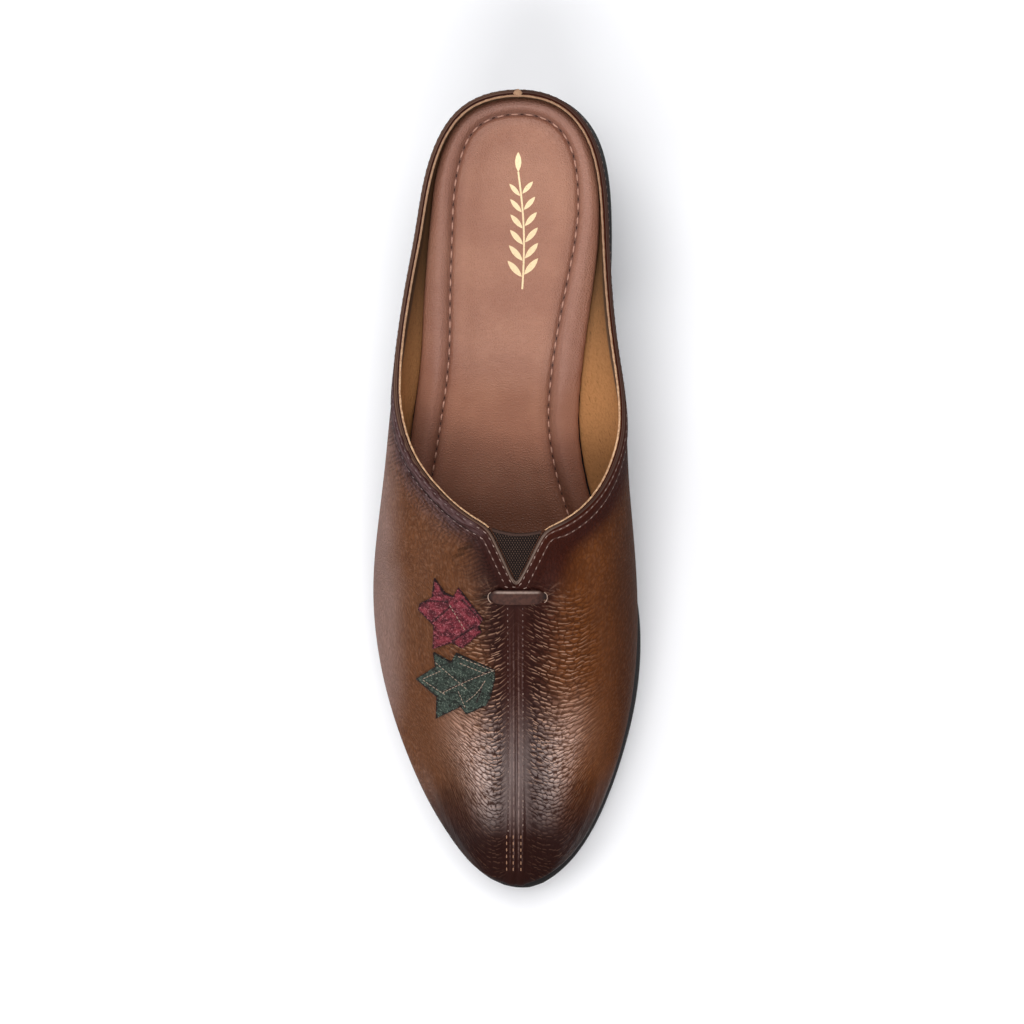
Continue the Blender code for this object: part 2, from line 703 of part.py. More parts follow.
def make_patch(name, outline, finish):
    """A suede patch: its outline is cut into a grid, laid on the vamp, and given its thickness."""
    work = bmesh.new()
    work.faces.new([work.verts.new((x, y, 0)) for x, y in outline])
    low, high = np.min(outline, axis=0), np.max(outline, axis=0)
    for axis in (0, 1):
        normal = Vector((1, 0, 0)) if axis == 0 else Vector((0, 1, 0))
        for place in np.arange(low[axis] + PATCH_STEP, high[axis], PATCH_STEP):
            everything = work.verts[:] + work.edges[:] + work.faces[:]
            bmesh.ops.bisect_plane(work, geom=everything, plane_co=normal * place, plane_no=normal)
    bmesh.ops.triangulate(work, faces=work.faces)
    work.verts.ensure_lookup_table()
    flat = [(v.co.x, v.co.y) for v in work.verts]
    tops = [[v.index for v in f.verts] for f in work.faces]
    rim = [[v.index for v in e.verts] for e in work.edges if e.is_boundary]
    work.free()
    points = [on_vamp(x, y, PATCH[1]) for x, y in flat] + [on_vamp(x, y, PATCH[0]) for x, y in flat]
    count = len(flat)
    bottoms = [[i + count for i in f[::-1]] for f in tops]
    sides = [[a, b, b + count, a + count] for a, b in rim]
    faces = tops + bottoms + sides
    return solid(name, points, faces, finish, smooth_under=50)


# ---------------------------------------------------------------- sole, insole and heel


def outline_stations():
    half = np.linspace(0, TOE_STATION, SOLE_COLUMNS + 1)
    return [station("inner", k) for k in half], [station("outer", k) for k in half]


def sole_point(at):
    """The sole's edge in plan."""
    return feather_point(at) - inward(at) * rib_at(at)[0].edge


def sole_under(y):
    """Height of the sole's underside, flat on the floor under the ball of the foot."""
    height = feather_height(y) - SOLE_THICK
    return 0.0 if height < SOLE_LEVEL else height


def paired_sheet(pairs, start=0):
    """Quads between the inner and outer points of neighbouring stations; pairs hold point numbers."""
    faces = []
    for (a, b), (c, d) in zip(pairs, pairs[1:]):
        faces.append([start + i for i in (a, c, d, b)])
    return faces


def make_sole(finish):
    """The moulded rubber sole, heel to toe, a little wider than the feather line all round."""
    inner, outer = outline_stations()
    loop = inner + outer[-2:0:-1]
    count = len(loop)
    plan = [sole_point(at) for at in loop]
    points = [(*p, feather_height(p[1]) - GAP) for p in plan] + [(*p, sole_under(p[1])) for p in plan]
    faces = [[i, (i + 1) % count, (i + 1) % count + count, i + count] for i in range(count)]
    pairs = [(i, -i % count) for i in range(SOLE_COLUMNS + 1)]
    faces += paired_sheet(pairs) + paired_sheet(pairs, count)
    made = solid("sole", points, faces, finish)
    rounded_edges(made, SOLE_ROUND)
    return made


def waist_share(y):
    """1 in the waist of the shoe, 0 at the heel and the ball: the padded edge is broader in the waist."""
    return math.exp(-(((y - WAIST_Y) / WAIST_REACH) ** 2))


def insole_point(at, ring):
    foot = feather_point(at)
    rib, _ = rib_at(at)
    share = waist_share(foot[1])
    below = 1 - ring.height / (rib.z - feather_height(foot[1]))
    wall_out = rib.tuck * (1 - below**2)
    side = max(rib.pad, INSOLE_CLEAR - wall_out)
    plan = foot + inward(at) * (side + ring.inset + (ring.waist_inset - ring.inset) * share)
    return (*plan, feather_height(plan[1]) + ring.height)


def make_insole(finish):
    """The padded insole: a soft roll round the edge, a sewn channel inside it and a dished middle."""
    inner, outer = outline_stations()
    loop = inner + outer[-2:0:-1]
    count = len(loop)
    points = [insole_point(at, ring) for ring in INSOLE_RINGS for at in loop]
    faces = []
    for r in range(len(INSOLE_RINGS) - 1):
        for i in range(count):
            a, b = r * count + i, r * count + (i + 1) % count
            faces.append([a, b, b + count, a + count])
    faces += paired_sheet([(i, -i % count) for i in range(SOLE_COLUMNS + 1)])
    top = (len(INSOLE_RINGS) - 1) * count
    spine = []
    for i in range(1, SOLE_COLUMNS):
        a, b = np.array(points[top + i]), np.array(points[top + (-i % count)])
        middle = (a + b) / 2
        spine.append(len(points))
        points.append((middle[0], middle[1], feather_height(middle[1]) + INSOLE_MIDDLE))
    for i in range(1, SOLE_COLUMNS - 1):
        for near in (i, i + 1), (-i % count, -(i + 1) % count):
            faces.append([top + near[0], top + near[1], spine[i], spine[i - 1]])
    for end, at_spine in ((0, 0), (SOLE_COLUMNS, -1)):
        step = 1 if end == 0 else -1
        faces.append([top + end, top + end + step, spine[at_spine]])
        faces.append([top + end, top + (-(end + step) % count), spine[at_spine]])
    return solid("insole", points, faces, finish)


def heel_outline():
    """The heel's outline at the seat: the sole's edge behind the breast, and the rounded breast."""
    around = np.linspace(-VAMP_FROM, VAMP_FROM, 2 * CUT_STEPS + 1)
    edge = np.array([sole_point(at) + inward(at) * HEEL_INSET for at in around])
    back = edge[edge[:, 1] > HEEL_BREAST_Y + HEEL_CORNER]
    back = back[np.linspace(0, len(back) - 1, HEEL_POINTS).astype(int)]
    corners = []
    for start, sign in ((back[-1], -1), (back[0], 1)):
        centre = start + np.array((sign * HEEL_CORNER, 0))
        turns = np.linspace(0, math.pi / 2, CORNER_POINTS + 1)[1:]
        turns = turns if sign < 0 else turns[::-1]
        for turn in turns:
            reach = np.array((-sign * math.cos(turn), -math.sin(turn))) * HEEL_CORNER
            corners.append(centre + reach)
    return np.vstack((back, corners))


def heel_section(drop, outline):
    """The heel's outline at this share of the way down, drawn in at sides, back and breast."""
    side, back, breast = (amount * drop**0.8 for amount in HEEL_SHRINK)
    low, high = outline.min(axis=0), outline.max(axis=0)
    middle = (low[0] + high[0]) / 2
    half = (high[0] - low[0]) / 2
    x = middle + (outline[:, 0] - middle) * (half - side) / half
    share = (outline[:, 1] - low[1]) / (high[1] - low[1])
    y = low[1] + breast + share * (high[1] - back - low[1] - breast)
    return np.stack((x, y), axis=1)


def capped_loft(name, rings, finish, width):
    """A closed solid through rings of equal counts, capped at both ends, with rounded rims."""
    count = len(rings[0])
    points = [p for ring in rings for p in ring]
    faces = [list(range(count)), [len(points) - count + i for i in range(count)]]
    for r in range(len(rings) - 1):
        for i in range(count):
            a, b = r * count + i, r * count + (i + 1) % count
            faces.append([a, b, b + count, a + count])
    made = solid(name, points, faces, finish)
    rounded_edges(made, width)
    return made


def make_heel(finish):
    """The block heel under the seat of the sole."""
    outline = heel_outline()
    foot = TOP_PIECE + GAP
    rings = []
    for drop in HEEL_LEVELS:
        plan = heel_section(drop, outline)
        ring = []
        for (x, y), (_, seat_y) in zip(plan, outline):
            seat = feather_height(seat_y) - SOLE_THICK - GAP
            ring.append((x, y, seat + (foot - seat) * drop))
        rings.append(ring)
    return capped_loft("heel", rings, finish, HEEL_ROUND)


def make_top_piece(finish):
    """The rubber top piece that the heel walks on."""
    plan = heel_section(1.0, heel_outline())
    rings = [[(x, y, z) for x, y in plan] for z in (TOP_PIECE, 0.0)]
    return capped_loft("top_piece", rings, finish, TOP_ROUND)


# ---------------------------------------------------------------- the shoe


def clear_scene():
    for obj in list(bpy.data.objects):
        bpy.data.objects.remove(obj)


def centre_on_floor(pieces):
    """Moves the shoe so that its box is centred over the origin and stands on the floor."""
    bpy.context.view_layer.update()
    graph = bpy.context.evaluated_depsgraph_get()
    corners = np.array([p.matrix_world @ Vector(c) for p in pieces for c in p.evaluated_get(graph).bound_box])
    low, high = corners.min(axis=0), corners.max(axis=0)
    middle = (low + high) / 2
    for piece in pieces:
        piece.location = Vector((-middle[0], -middle[1], -low[2]))


def main():
    clear_scene()
    leather = material("burnished leather", (0.22, 0.09, 0.03), 0.35)
    rubber = material("black rubber", (0.02, 0.02, 0.022), 0.55)
    heel_cover = material("black heel", (0.022, 0.02, 0.02), 0.4)
    padding = material("insole leather", (0.42, 0.22, 0.15), 0.5)
    webbing = material("elastic webbing", (0.06, 0.035, 0.028), 0.8)
    piping = material("tab leather", (0.13, 0.06, 0.04), 0.4)
    red_suede = material("red suede", (0.3, 0.04, 0.06), 0.95)
    green_suede = material("green suede", (0.05, 0.08, 0.06), 0.95)
    pieces = [
        make_upper(leather),
        make_sole(rubber),
        make_insole(padding),
        make_heel(heel_cover),
        make_top_piece(rubber),
        make_elastic(webbing),
        make_tab(piping),
        make_patch("bloom_patch", BLOOM, red_suede),
        make_patch("leaf_patch", LEAF, green_suede),
    ]
    centre_on_floor(pieces)


main()
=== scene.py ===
"""The looks of a block heel mule for the right foot, in burnished leather with two suede patches.

Row frame: +Y from toe to heel, +X to the inner side of the foot, +Z up from the floor. Sizes are in
millimetres and become metres, Blender's unit, where they are used.
"""

from math import cos, pi, radians, sin

import bmesh
import bpy
import numpy as np
from mathutils import Matrix, Vector
from mathutils.bvhtree import BVHTree
from mathutils.kdtree import KDTree


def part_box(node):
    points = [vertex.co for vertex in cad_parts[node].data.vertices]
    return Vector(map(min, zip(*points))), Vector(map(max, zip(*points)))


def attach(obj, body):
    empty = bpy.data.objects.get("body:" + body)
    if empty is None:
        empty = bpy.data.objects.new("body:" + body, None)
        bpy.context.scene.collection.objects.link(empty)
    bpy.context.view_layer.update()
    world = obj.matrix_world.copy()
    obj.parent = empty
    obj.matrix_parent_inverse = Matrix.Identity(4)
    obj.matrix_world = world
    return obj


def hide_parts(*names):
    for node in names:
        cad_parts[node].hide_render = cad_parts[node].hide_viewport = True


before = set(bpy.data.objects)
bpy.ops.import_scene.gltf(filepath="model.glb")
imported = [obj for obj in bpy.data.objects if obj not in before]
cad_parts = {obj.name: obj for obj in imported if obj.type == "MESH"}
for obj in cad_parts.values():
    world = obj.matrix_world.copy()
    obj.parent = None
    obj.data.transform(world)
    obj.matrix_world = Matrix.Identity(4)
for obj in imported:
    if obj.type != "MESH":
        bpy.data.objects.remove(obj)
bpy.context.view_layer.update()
MM = 0.001

# -------- upper
# The upper is two leather panels joined down the middle, lined, folded over at the collar and
# lasted over the sole. The panels are pebbled calf, dyed tan and burnished nearly black by hand
# along the seam, the collar and the toe.

SEAM_X = (4.91, 3.11)  # sideways place of the centre seam at SEAM_Y
SEAM_Y = (-10.05, -122.65)
NOTCH_TIP_Y = -27.45
NOTCH_MIDDLE, HEM_NARROWER = (5, -20), 0.42  # the hem is this much narrower round the notch
HIGHEST_FOOT_LINE = 52.0
RIM_WIDTH = 1.8
HEM_ROWS = (1.4, 4.0)  # the stitch rows' places below the rim
ARC_DEPTH, ARC_REACH = 6.0, 14  # the pebbles' hanging arcs
ARC_LOW_INNER, ARC_LOW_OUTER = 15, 10  # how far from the seam they hang lowest
TOE_CLOSER, TOE_SHORTER = 3.5, 6.5  # how much nearer and shorter they are at the toe
BAR_AT, BAR_HALF = (5.1, -30.7), 9.2
MERGE_WITHIN = 0.005


def only(obj):
    """Makes obj the one selected and active object."""
    if bpy.context.object and bpy.context.object.mode != "OBJECT":
        bpy.ops.object.mode_set(mode="OBJECT")
    bpy.ops.object.select_all(action="DESELECT")
    obj.select_set(True)
    bpy.context.view_layer.objects.active = obj


def opened(obj, action="SELECT"):
    """Opens a piece in edit mode, with all of it selected, or nothing for DESELECT."""
    only(obj)
    bpy.ops.object.mode_set(mode="EDIT")
    bpy.ops.mesh.select_all(action=action)


def added(name, data):
    """A new object in the scene."""
    made = bpy.data.objects.new(name, data)
    bpy.context.scene.collection.objects.link(made)
    return made


def cad_copy(node, name):
    """A piece that starts as a copy of a CAD node, with its points merged and its faces made quads."""
    piece = added(name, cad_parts[node].data.copy())
    piece.data.name = name
    piece.data.materials.clear()
    only(piece)
    if piece.data.has_custom_normals:
        bpy.ops.mesh.customdata_custom_splitnormals_clear()
    opened(piece)
    bpy.ops.mesh.remove_doubles(threshold=MERGE_WITHIN * MM)
    flat, square = radians(60), radians(70)
    bpy.ops.mesh.tris_convert_to_quads(face_threshold=flat, shape_threshold=square)
    bpy.ops.object.mode_set(mode="OBJECT")
    bpy.ops.object.shade_smooth()
    return piece


def modified(obj, kind, **settings):
    """Adds a modifier with these settings and applies it."""
    modifier = obj.modifiers.new(kind.lower(), kind)
    for name, value in settings.items():
        setattr(modifier, name, value)
    only(obj)
    bpy.ops.object.modifier_apply(modifier=modifier.name)
    return obj


def smoothed(obj, levels, held_above=None, hold=1.0):
    """Subdivides a piece. Edges sharper than held_above degrees keep that much of their sharpness."""
    if held_above:
        opened(obj, "DESELECT")
        bpy.ops.mesh.edges_select_sharp(sharpness=radians(held_above))
        bpy.ops.transform.edge_crease(value=hold)
        bpy.ops.object.mode_set(mode="OBJECT")
    return modified(obj, "SUBSURF", levels=levels, render_levels=levels)


def places(obj):
    """The points of a mesh in millimetres."""
    flat = np.empty(len(obj.data.vertices) * 3, np.float32)
    obj.data.vertices.foreach_get("co", flat)
    return flat.reshape(-1, 3).astype(float) / MM


def put(obj, points):
    """Moves the points of a mesh to these places in millimetres."""
    obj.data.vertices.foreach_set("co", (points * MM).astype(np.float32).ravel())
    obj.data.update()


def outward(obj):
    """The normals at the points of a mesh."""
    flat = np.empty(len(obj.data.vertices) * 3, np.float32)
    obj.data.vertices.foreach_get("normal", flat)
    return flat.reshape(-1, 3).astype(float)


def write_tag(obj, name, values):
    """Stores a number or a triple for each point, which subdivision keeps and a finish can read."""
    values = np.asarray(values, np.float32)
    kind, field = ("FLOAT", "value") if values.ndim == 1 else ("FLOAT_VECTOR", "vector")
    tag = obj.data.attributes.get(name) or obj.data.attributes.new(name, kind, "POINT")
    tag.data.foreach_set(field, values.ravel())


def read_tag(obj, name):
    values = np.empty(len(obj.data.vertices), np.float32)
    obj.data.attributes[name].data.foreach_get("value", values)
    return values


def surface(obj, keep=None):
    """A tree of a mesh's faces, in millimetres. keep says which points count."""
    faces = [list(face.vertices) for face in obj.data.polygons]
    if keep is not None:
        faces = [face for face in faces if all(keep[i] for i in face)]
    return BVHTree.FromPolygons([Vector(p) for p in places(obj)], faces)


def tree_of(line):
    """A tree of a line's closely set points, for finding the nearest."""
    tree = KDTree(len(line))
    for i, point in enumerate(line):
        tree.insert(point, i)
    tree.balance()
    return tree


def gaps(points, line):
    """How far each of the points is from a line."""
    tree = tree_of(line)
    return np.array([tree.find(point)[2] for point in points])


def nearest_of(points, line):
    """Which of a line's places is nearest to each of the points."""
    tree = tree_of(line)
    return np.array([tree.find(point)[1] for point in points])


def tagged_line(obj, name, step=0.1):
    """Closely set places along the edges whose two ends both carry a tag in full."""
    on = read_tag(obj, name) > 0.99
    points = places(obj)
    line = []
    for edge in obj.data.edges:
        a, b = edge.vertices
        if on[a] and on[b]:
            count = max(int(np.linalg.norm(points[b] - points[a]) / step), 1)
            line += [points[a] + (points[b] - points[a]) * k / count for k in range(count + 1)]
    return np.array(line)


def chained(steps):
    """Orders pairs of neighbours into runs. A run that closes ends with its first member again."""
    nexts = {}
    for a, b in steps:
        nexts.setdefault(a, []).append(b)
        nexts.setdefault(b, []).append(a)
    runs, seen = [], set()
    for start in sorted(nexts, key=lambda k: len(nexts[k])):
        if start in seen:
            continue
        run = [start]
        seen.add(start)
        while True:
            onward = [k for k in nexts[run[-1]] if k not in seen]
            if not onward:
                break
            run.append(onward[0])
            seen.add(onward[0])
        if len(run) > 2 and start in nexts[run[-1]]:
            run.append(start)
        runs.append(run)
    return runs


def level_lines(obj, values, level, keep):
    """The lines on a mesh where its points' values pass a level, longest first, in millimetres."""
    points, crossings, steps = places(obj), {}, []
    for face in obj.data.polygons:
        ring, ends = list(face.vertices), []
        if not all(keep[i] for i in ring):
            continue
        for a, b in zip(ring, ring[1:] + ring[:1]):
            if (values[a] < level) != (values[b] < level):
                key = (min(a, b), max(a, b))
                share = (level - values[key[0]]) / (values[key[1]] - values[key[0]])
                crossings[key] = points[key[0]] + share * (points[key[1]] - points[key[0]])
                ends.append(key)
        if len(ends) == 2:
            steps.append(ends)
    lines = [np.array([crossings[key] for key in run]) for run in chained(steps)]
    return sorted(lines, key=len, reverse=True)


def evenly(line, step):
    """A line's places again, this far apart along it, after its small kinks are smoothed away."""
    closed = np.allclose(line[0], line[-1])
    for _ in range(3):
        middle = (line[:-2] + 2 * line[1:-1] + line[2:]) / 4
        line = np.concatenate([line[:1], middle, line[-1:]])
    along = np.concatenate([[0], np.cumsum(np.linalg.norm(np.diff(line, axis=0), axis=1))])
    count = max(round(along[-1] / step), 1)
    at = np.linspace(0, along[-1], count + 1)
    if closed:
        at = at[:-1]
    return np.stack([np.interp(at, along, line[:, k]) for k in range(3)], axis=1)


def fade(values, start, end):
    """0 up to start, 1 from end on, and a smooth rise between them."""
    share = np.clip((np.asarray(values, float) - start) / (end - start), 0, 1)
    return share * share * (3 - 2 * share)


def seam_x(y):
    return SEAM_X[0] + (SEAM_X[1] - SEAM_X[0]) * (y - SEAM_Y[0]) / (SEAM_Y[1] - SEAM_Y[0])


def tag_shell(obj, sharper_than=60):
    """Finds a lasted shell's two sides and its edges: tags lining, rim, rim_top, and foot_edge."""
    shell = bmesh.new()
    shell.from_mesh(obj.data)
    shell.normal_update()
    shell.faces.ensure_lookup_table()
    least = radians(sharper_than)
    sharp = {e for e in shell.edges if len(e.link_faces) == 2 and e.calc_face_angle() > least}
    left, sides = set(shell.faces), []
    while left:
        side = [left.pop()]
        for face in side:
            for edge in face.edges:
                if edge not in sharp:
                    found = [f for f in edge.link_faces if f in left]
                    left.difference_update(found)
                    side += found
        sides.append(set(side))
    sides.sort(key=len, reverse=True)
    widest = max(sides[0] | sides[1], key=lambda f: f.calc_center_median().x)
    outside, inside = sides[:2] if widest in sides[0] else (sides[1], sides[0])
    tags = {name: np.zeros(len(shell.verts)) for name in ("lining", "rim", "rim_top", "foot_edge")}
    for face in inside:
        for vert in face.verts:
            tags["lining"][vert.index] = 1
    for edge in sharp:
        faces = set(edge.link_faces)
        if faces & outside:
            name = "rim" if faces & inside else "foot_edge"
            for vert in edge.verts:
                tags[name][vert.index] = 1
    for face in outside:
        if any(tags["rim"][v.index] for v in face.verts):
            for vert in face.verts:
                tags["rim_top"][vert.index] = 1 - tags["rim"][vert.index]
    shell.free()
    for name, values in tags.items():
        write_tag(obj, name, values)


upper = cad_copy("upper", "upper_leather")
tag_shell(upper)
smoothed(upper, 2)
upper_points = places(upper)
rim_line, rim_top_line = tagged_line(upper, "rim"), tagged_line(upper, "rim_top")
foot_line = tagged_line(upper, "foot_edge")
foot_line = foot_line[foot_line[:, 2] < HIGHEST_FOOT_LINE]
from_rim, from_foot = gaps(upper_points, rim_top_line), gaps(upper_points, foot_line)
outside = read_tag(upper, "lining") < 0.5
on_rim = outside & (gaps(upper_points, rim_line) < RIM_WIDTH)
from_rim[on_rim] *= -1  # below zero on the rim's flat top
upper_skin = surface(upper, outside)
rim_on = read_tag(upper, "rim") > 0.99
rim_edges = [tuple(edge.vertices) for edge in upper.data.edges]
rim_steps = [(a, b) for a, b in rim_edges if rim_on[a] and rim_on[b]]
rim_loop = upper_points[max(chained(rim_steps), key=len)][:-1]
# The rim's loop starts at the notch's tip and runs right round.
rim_loop = np.roll(rim_loop, -int(np.argmin(rim_loop[:, 1])), axis=0)
rim_run = np.concatenate([[0], np.cumsum(np.linalg.norm(np.diff(rim_loop, axis=0), axis=1))])
along_rim = rim_run[nearest_of(upper_points, rim_loop)]


def skin_height(x, y, skin=upper_skin):
    """The height of a skin over a place on the floor."""
    above = 200
    return skin.ray_cast(Vector((x, y, above)), Vector((0, 0, -1)))[0].z


# The ridge line runs down the seam and on, level, over the opening. How far a place is from it, to
# either side, and how far it is along it are what the leather's grain and dye follow.
ridge_y = np.arange(SEAM_Y[1] + 2, NOTCH_TIP_Y - 2, 2.0)
ridge_z = [skin_height(seam_x(y), y) for y in ridge_y]
upper_x, upper_y, upper_z = upper_points.T
beside = upper_x - seam_x(np.clip(upper_y, *sorted(SEAM_Y)))
below = np.interp(upper_y, ridge_y, ridge_z) - upper_z
across = np.hypot(beside, np.maximum(below, 0)) * np.sign(beside)

# Pebbles hang in arcs on each panel. They are lowest at arc_low from the seam, and higher by the
# square of the way from there over arc_width.
toe_share = fade(upper_y, -50, -92)
arc_low = np.where(across > 0, ARC_LOW_INNER, ARC_LOW_OUTER) - TOE_CLOSER * toe_share
arc_width = np.where(abs(across) < arc_low, arc_low, ARC_REACH - TOE_SHORTER * toe_share)
arc_rise = ((abs(across) - arc_low) / arc_width) ** 2
hang = ARC_DEPTH * np.clip(1 - arc_rise, -6, 1) * fade(upper_y, -12, -34)
write_tag(upper, "grain", np.stack([across, upper_y + hang, upper_z * 0], axis=1))
write_tag(upper, "across", across)
write_tag(upper, "along_rim", along_rim)
write_tag(upper, "from_rim", from_rim)
notch_share = fade(np.linalg.norm(upper_points[:, :2] - NOTCH_MIDDLE, axis=1), 17, 11)
hem_place = from_rim * (1 + HEM_NARROWER * notch_share)
write_tag(upper, "hem_place", hem_place)
write_tag(upper, "from_foot", from_foot)


class Wire:
    """A node's output. Sums on it add the Math nodes that work them out."""

    def __init__(self, finish, socket):
        self.finish, self.socket = finish, socket

    def sum_with(self, operation, *values):
        return self.finish.node("Math", {"operation": operation}, dict(enumerate(values)))

    def __add__(self, other):
        return self.sum_with("ADD", self, other)

    def __sub__(self, other):
        return self.sum_with("SUBTRACT", self, other)

    def __rsub__(self, other):
        return self.sum_with("SUBTRACT", other, self)

    def __mul__(self, other):
        return self.sum_with("MULTIPLY", self, other)

    def __truediv__(self, other):
        return self.sum_with("DIVIDE", self, other)

    def __abs__(self):
        return self.sum_with("ABSOLUTE", self)

    def sine(self):
        return self.sum_with("SINE", self)

    __radd__, __rmul__ = __add__, __mul__


class Finish:
    """A material on one Principled shader. Sizes in it are millimetres."""

    def __init__(self, name, **sockets):
        self.material = bpy.data.materials.new(name)
        self.material.use_nodes = True
        self.tree = self.material.node_tree
        self.shader = self.tree.nodes["Principled BSDF"]
        for socket, value in sockets.items():
            self.shader.inputs[socket.replace("_", " ")].default_value = value
        here = self.node("TexCoord", output="Object")
        self.here = self.node("VectorMath", {"operation": "SCALE"}, {0: here, "Scale": 1 / MM})

    def node(self, kind, settings=None, inputs=None, output=0):
        """Adds a node: first its settings, then the values or wires of its sockets."""
        made = self.tree.nodes.new("ShaderNode" + kind)
        for name, setting in (settings or {}).items():
            setattr(made, name, setting)
        for name, value in (inputs or {}).items():
            if isinstance(value, Wire):
                self.tree.links.new(value.socket, made.inputs[name])
            else:
                made.inputs[name].default_value = value
        return Wire(self, made.outputs[output])

    def tag(self, name, output="Fac"):
        return self.node("Attribute", {"attribute_name": name}, output=output)

    def part(self, vector, axis):
        return self.node("SeparateXYZ", inputs={0: vector}, output=axis)

    def vector(self, x, y, z=0.0):
        return self.node("CombineXYZ", inputs={0: x, 1: y, 2: z})

    def noise(self, where, size, detail=2.0, roughness=0.5, output=0):
        inputs = {"Vector": where, "Scale": 1 / size, "Detail": detail, "Roughness": roughness}
        return self.node("TexNoise", inputs=inputs, output=output)

    def cells(self, where, size, feature="F1", output="Distance", randomness=1.0):
        inputs = {"Vector": where, "Scale": 1 / size, "Randomness": randomness}
        return self.node("TexVoronoi", {"feature": feature}, inputs, output)

    def fade(self, value, start, end, low=0.0, high=1.0):
        """low up to start, high from end on, and a smooth way between them."""
        inputs = dict(enumerate((value, start, end, low, high)))
        return self.node("MapRange", {"interpolation_type": "SMOOTHSTEP"}, inputs)

    def band(self, value, middle, reach):
        """1 where value is at middle, falling to 0 by reach on both sides."""
        return self.fade(abs(value - middle), 0.0, reach, 1.0, 0.0)

    def mix(self, share, first, second):
        """A colour between two colours, which are the Mix node's sockets 6 and 7 and its output 2."""
        return self.node("Mix", {"data_type": "RGBA"}, {0: share, 6: first, 7: second}, 2)

    def relief(self, height):
        """Feeds a height in millimetres to the shader's normal."""
        self.feed(Normal=self.node("Bump", inputs={"Height": height, "Distance": MM}))

    def feed(self, **wires):
        for socket, wire in wires.items():
            self.tree.links.new(wire.socket, self.shader.inputs[socket.replace("_", " ")])

    def put_on(self, piece, slot, *nodes):
        """Gives a piece this finish and its body, and hides the CAD nodes that it stands for. slot is
        not used.
        """
        piece.data.materials.clear()
        piece.data.materials.append(self.material)
        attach(piece, "root")
        if nodes:
            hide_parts(*nodes)


def dye(*shades):
    """A colour as on a dyer's card, red, green and blue from 0 to 255, as linear light."""
    light = [((c / 255 + 0.055) / 1.055) ** 2.4 if c > 10 else c / 3295 for c in shades]
    return (*light, 1.0)


ESPRESSO, CARAMEL, TAN = dye(46, 19, 14), dye(108, 59, 24), dye(103, 63, 39)
LINING, COLLAR_LINING, FOLD = dye(182, 128, 82), dye(110, 86, 70), dye(88, 62, 50)
# CREASE_SHADE is painted shade for creases and grooves. PALE_RUB_AND_HIGHLIGHT is a pale tone for the
# dye's mottle and for painted highlights on crests and ridges.
CREASE_SHADE, PALE_RUB_AND_HIGHLIGHT = dye(22, 9, 8), dye(182, 140, 116)

leather = Finish("burnished_calf", Coat_Roughness=0.24, Coat_IOR=1.6, Specular_IOR_Level=0.03)
ramp, mix, band, noise, cells = leather.fade, leather.mix, leather.band, leather.noise, leather.cells
vector, part, tag, node, here = leather.vector, leather.part, leather.tag, leather.node, leather.here
across_it, rim_gap, foot_gap = tag("across"), tag("from_rim"), tag("from_foot")
rim_way, hem_at = tag("along_rim"), tag("hem_place")
x, y = part(here, "X"), part(here, "Y")
grain = tag("grain", "Vector")
v, u = part(grain, "X"), part(grain, "Y")
inside = ramp(tag("lining"), 0.75, 0.95)
from_seam = abs(across_it)
cloudy = noise(here, 14, 3)
drift, small_drift = cloudy * 8 - 4, cloudy * 6 - 3  # how far the burnish strays, in millimetres
streaky = noise(vector(v / 3, u / 9), 1, 3)

# How much of the panel's own dye is left: the burnish covers the seam, hem, notch, toe and feet.
on_vamp = ramp(y, -22, -34)
by_seam = ramp(from_seam + drift - ramp(y, -54, -38) * 5, 3, 12) + (1 - on_vamp)
inner = ramp(across_it, 0, 12)
by_hem = ramp(rim_gap + small_drift - inner * 4, 3, 10)
by_foot = ramp(foot_gap + small_drift - inner * 4, 1, 13)
notch_gap = node("VectorMath", {"operation": "DISTANCE"}, {0: here, 1: (7, -22, 64)}, "Value")
by_notch = ramp(notch_gap + cloudy * 7 - 3.5, 8, 22)
by_toe = ramp(y + cloudy * 14 - 7, -107, -82)
dyed = node("Clamp", inputs={0: by_seam}) * by_hem * by_foot * by_notch * by_toe
panel = mix(inner, TAN, CARAMEL)
panel = mix(ramp(streaky, 0.4, 0.75) * 0.4, panel, mix(0.45, panel, ESPRESSO))
panel = mix(ramp(across_it + drift, 21, 40) * 0.65, panel, dye(52, 22, 8))
# A pale grey-pink sheen is painted on the outer flank.
painted_flank_sheen = ramp(across_it * -1 + drift, 34, 46) * ramp(y, 60, 20) * ramp(y, -78, -60)
panel = mix(painted_flank_sheen * 0.45, panel, dye(168, 142, 136))
# A painted highlight: a paler warm band either side of the seam, where the toe's highlight spreads.
painted_highlight_band = band(from_seam, 19, 11) * band(y, -72, 20)
panel = mix(painted_highlight_band * 0.4, panel, dye(160, 116, 94))
burnish = mix(inner * ramp(y, -60, -40), ESPRESSO, dye(56, 20, 9))
burnish = mix(ramp(y, -97, -110) * 0.7, burnish, dye(30, 11, 8))
skin = mix(dyed * 0.96, burnish, panel)

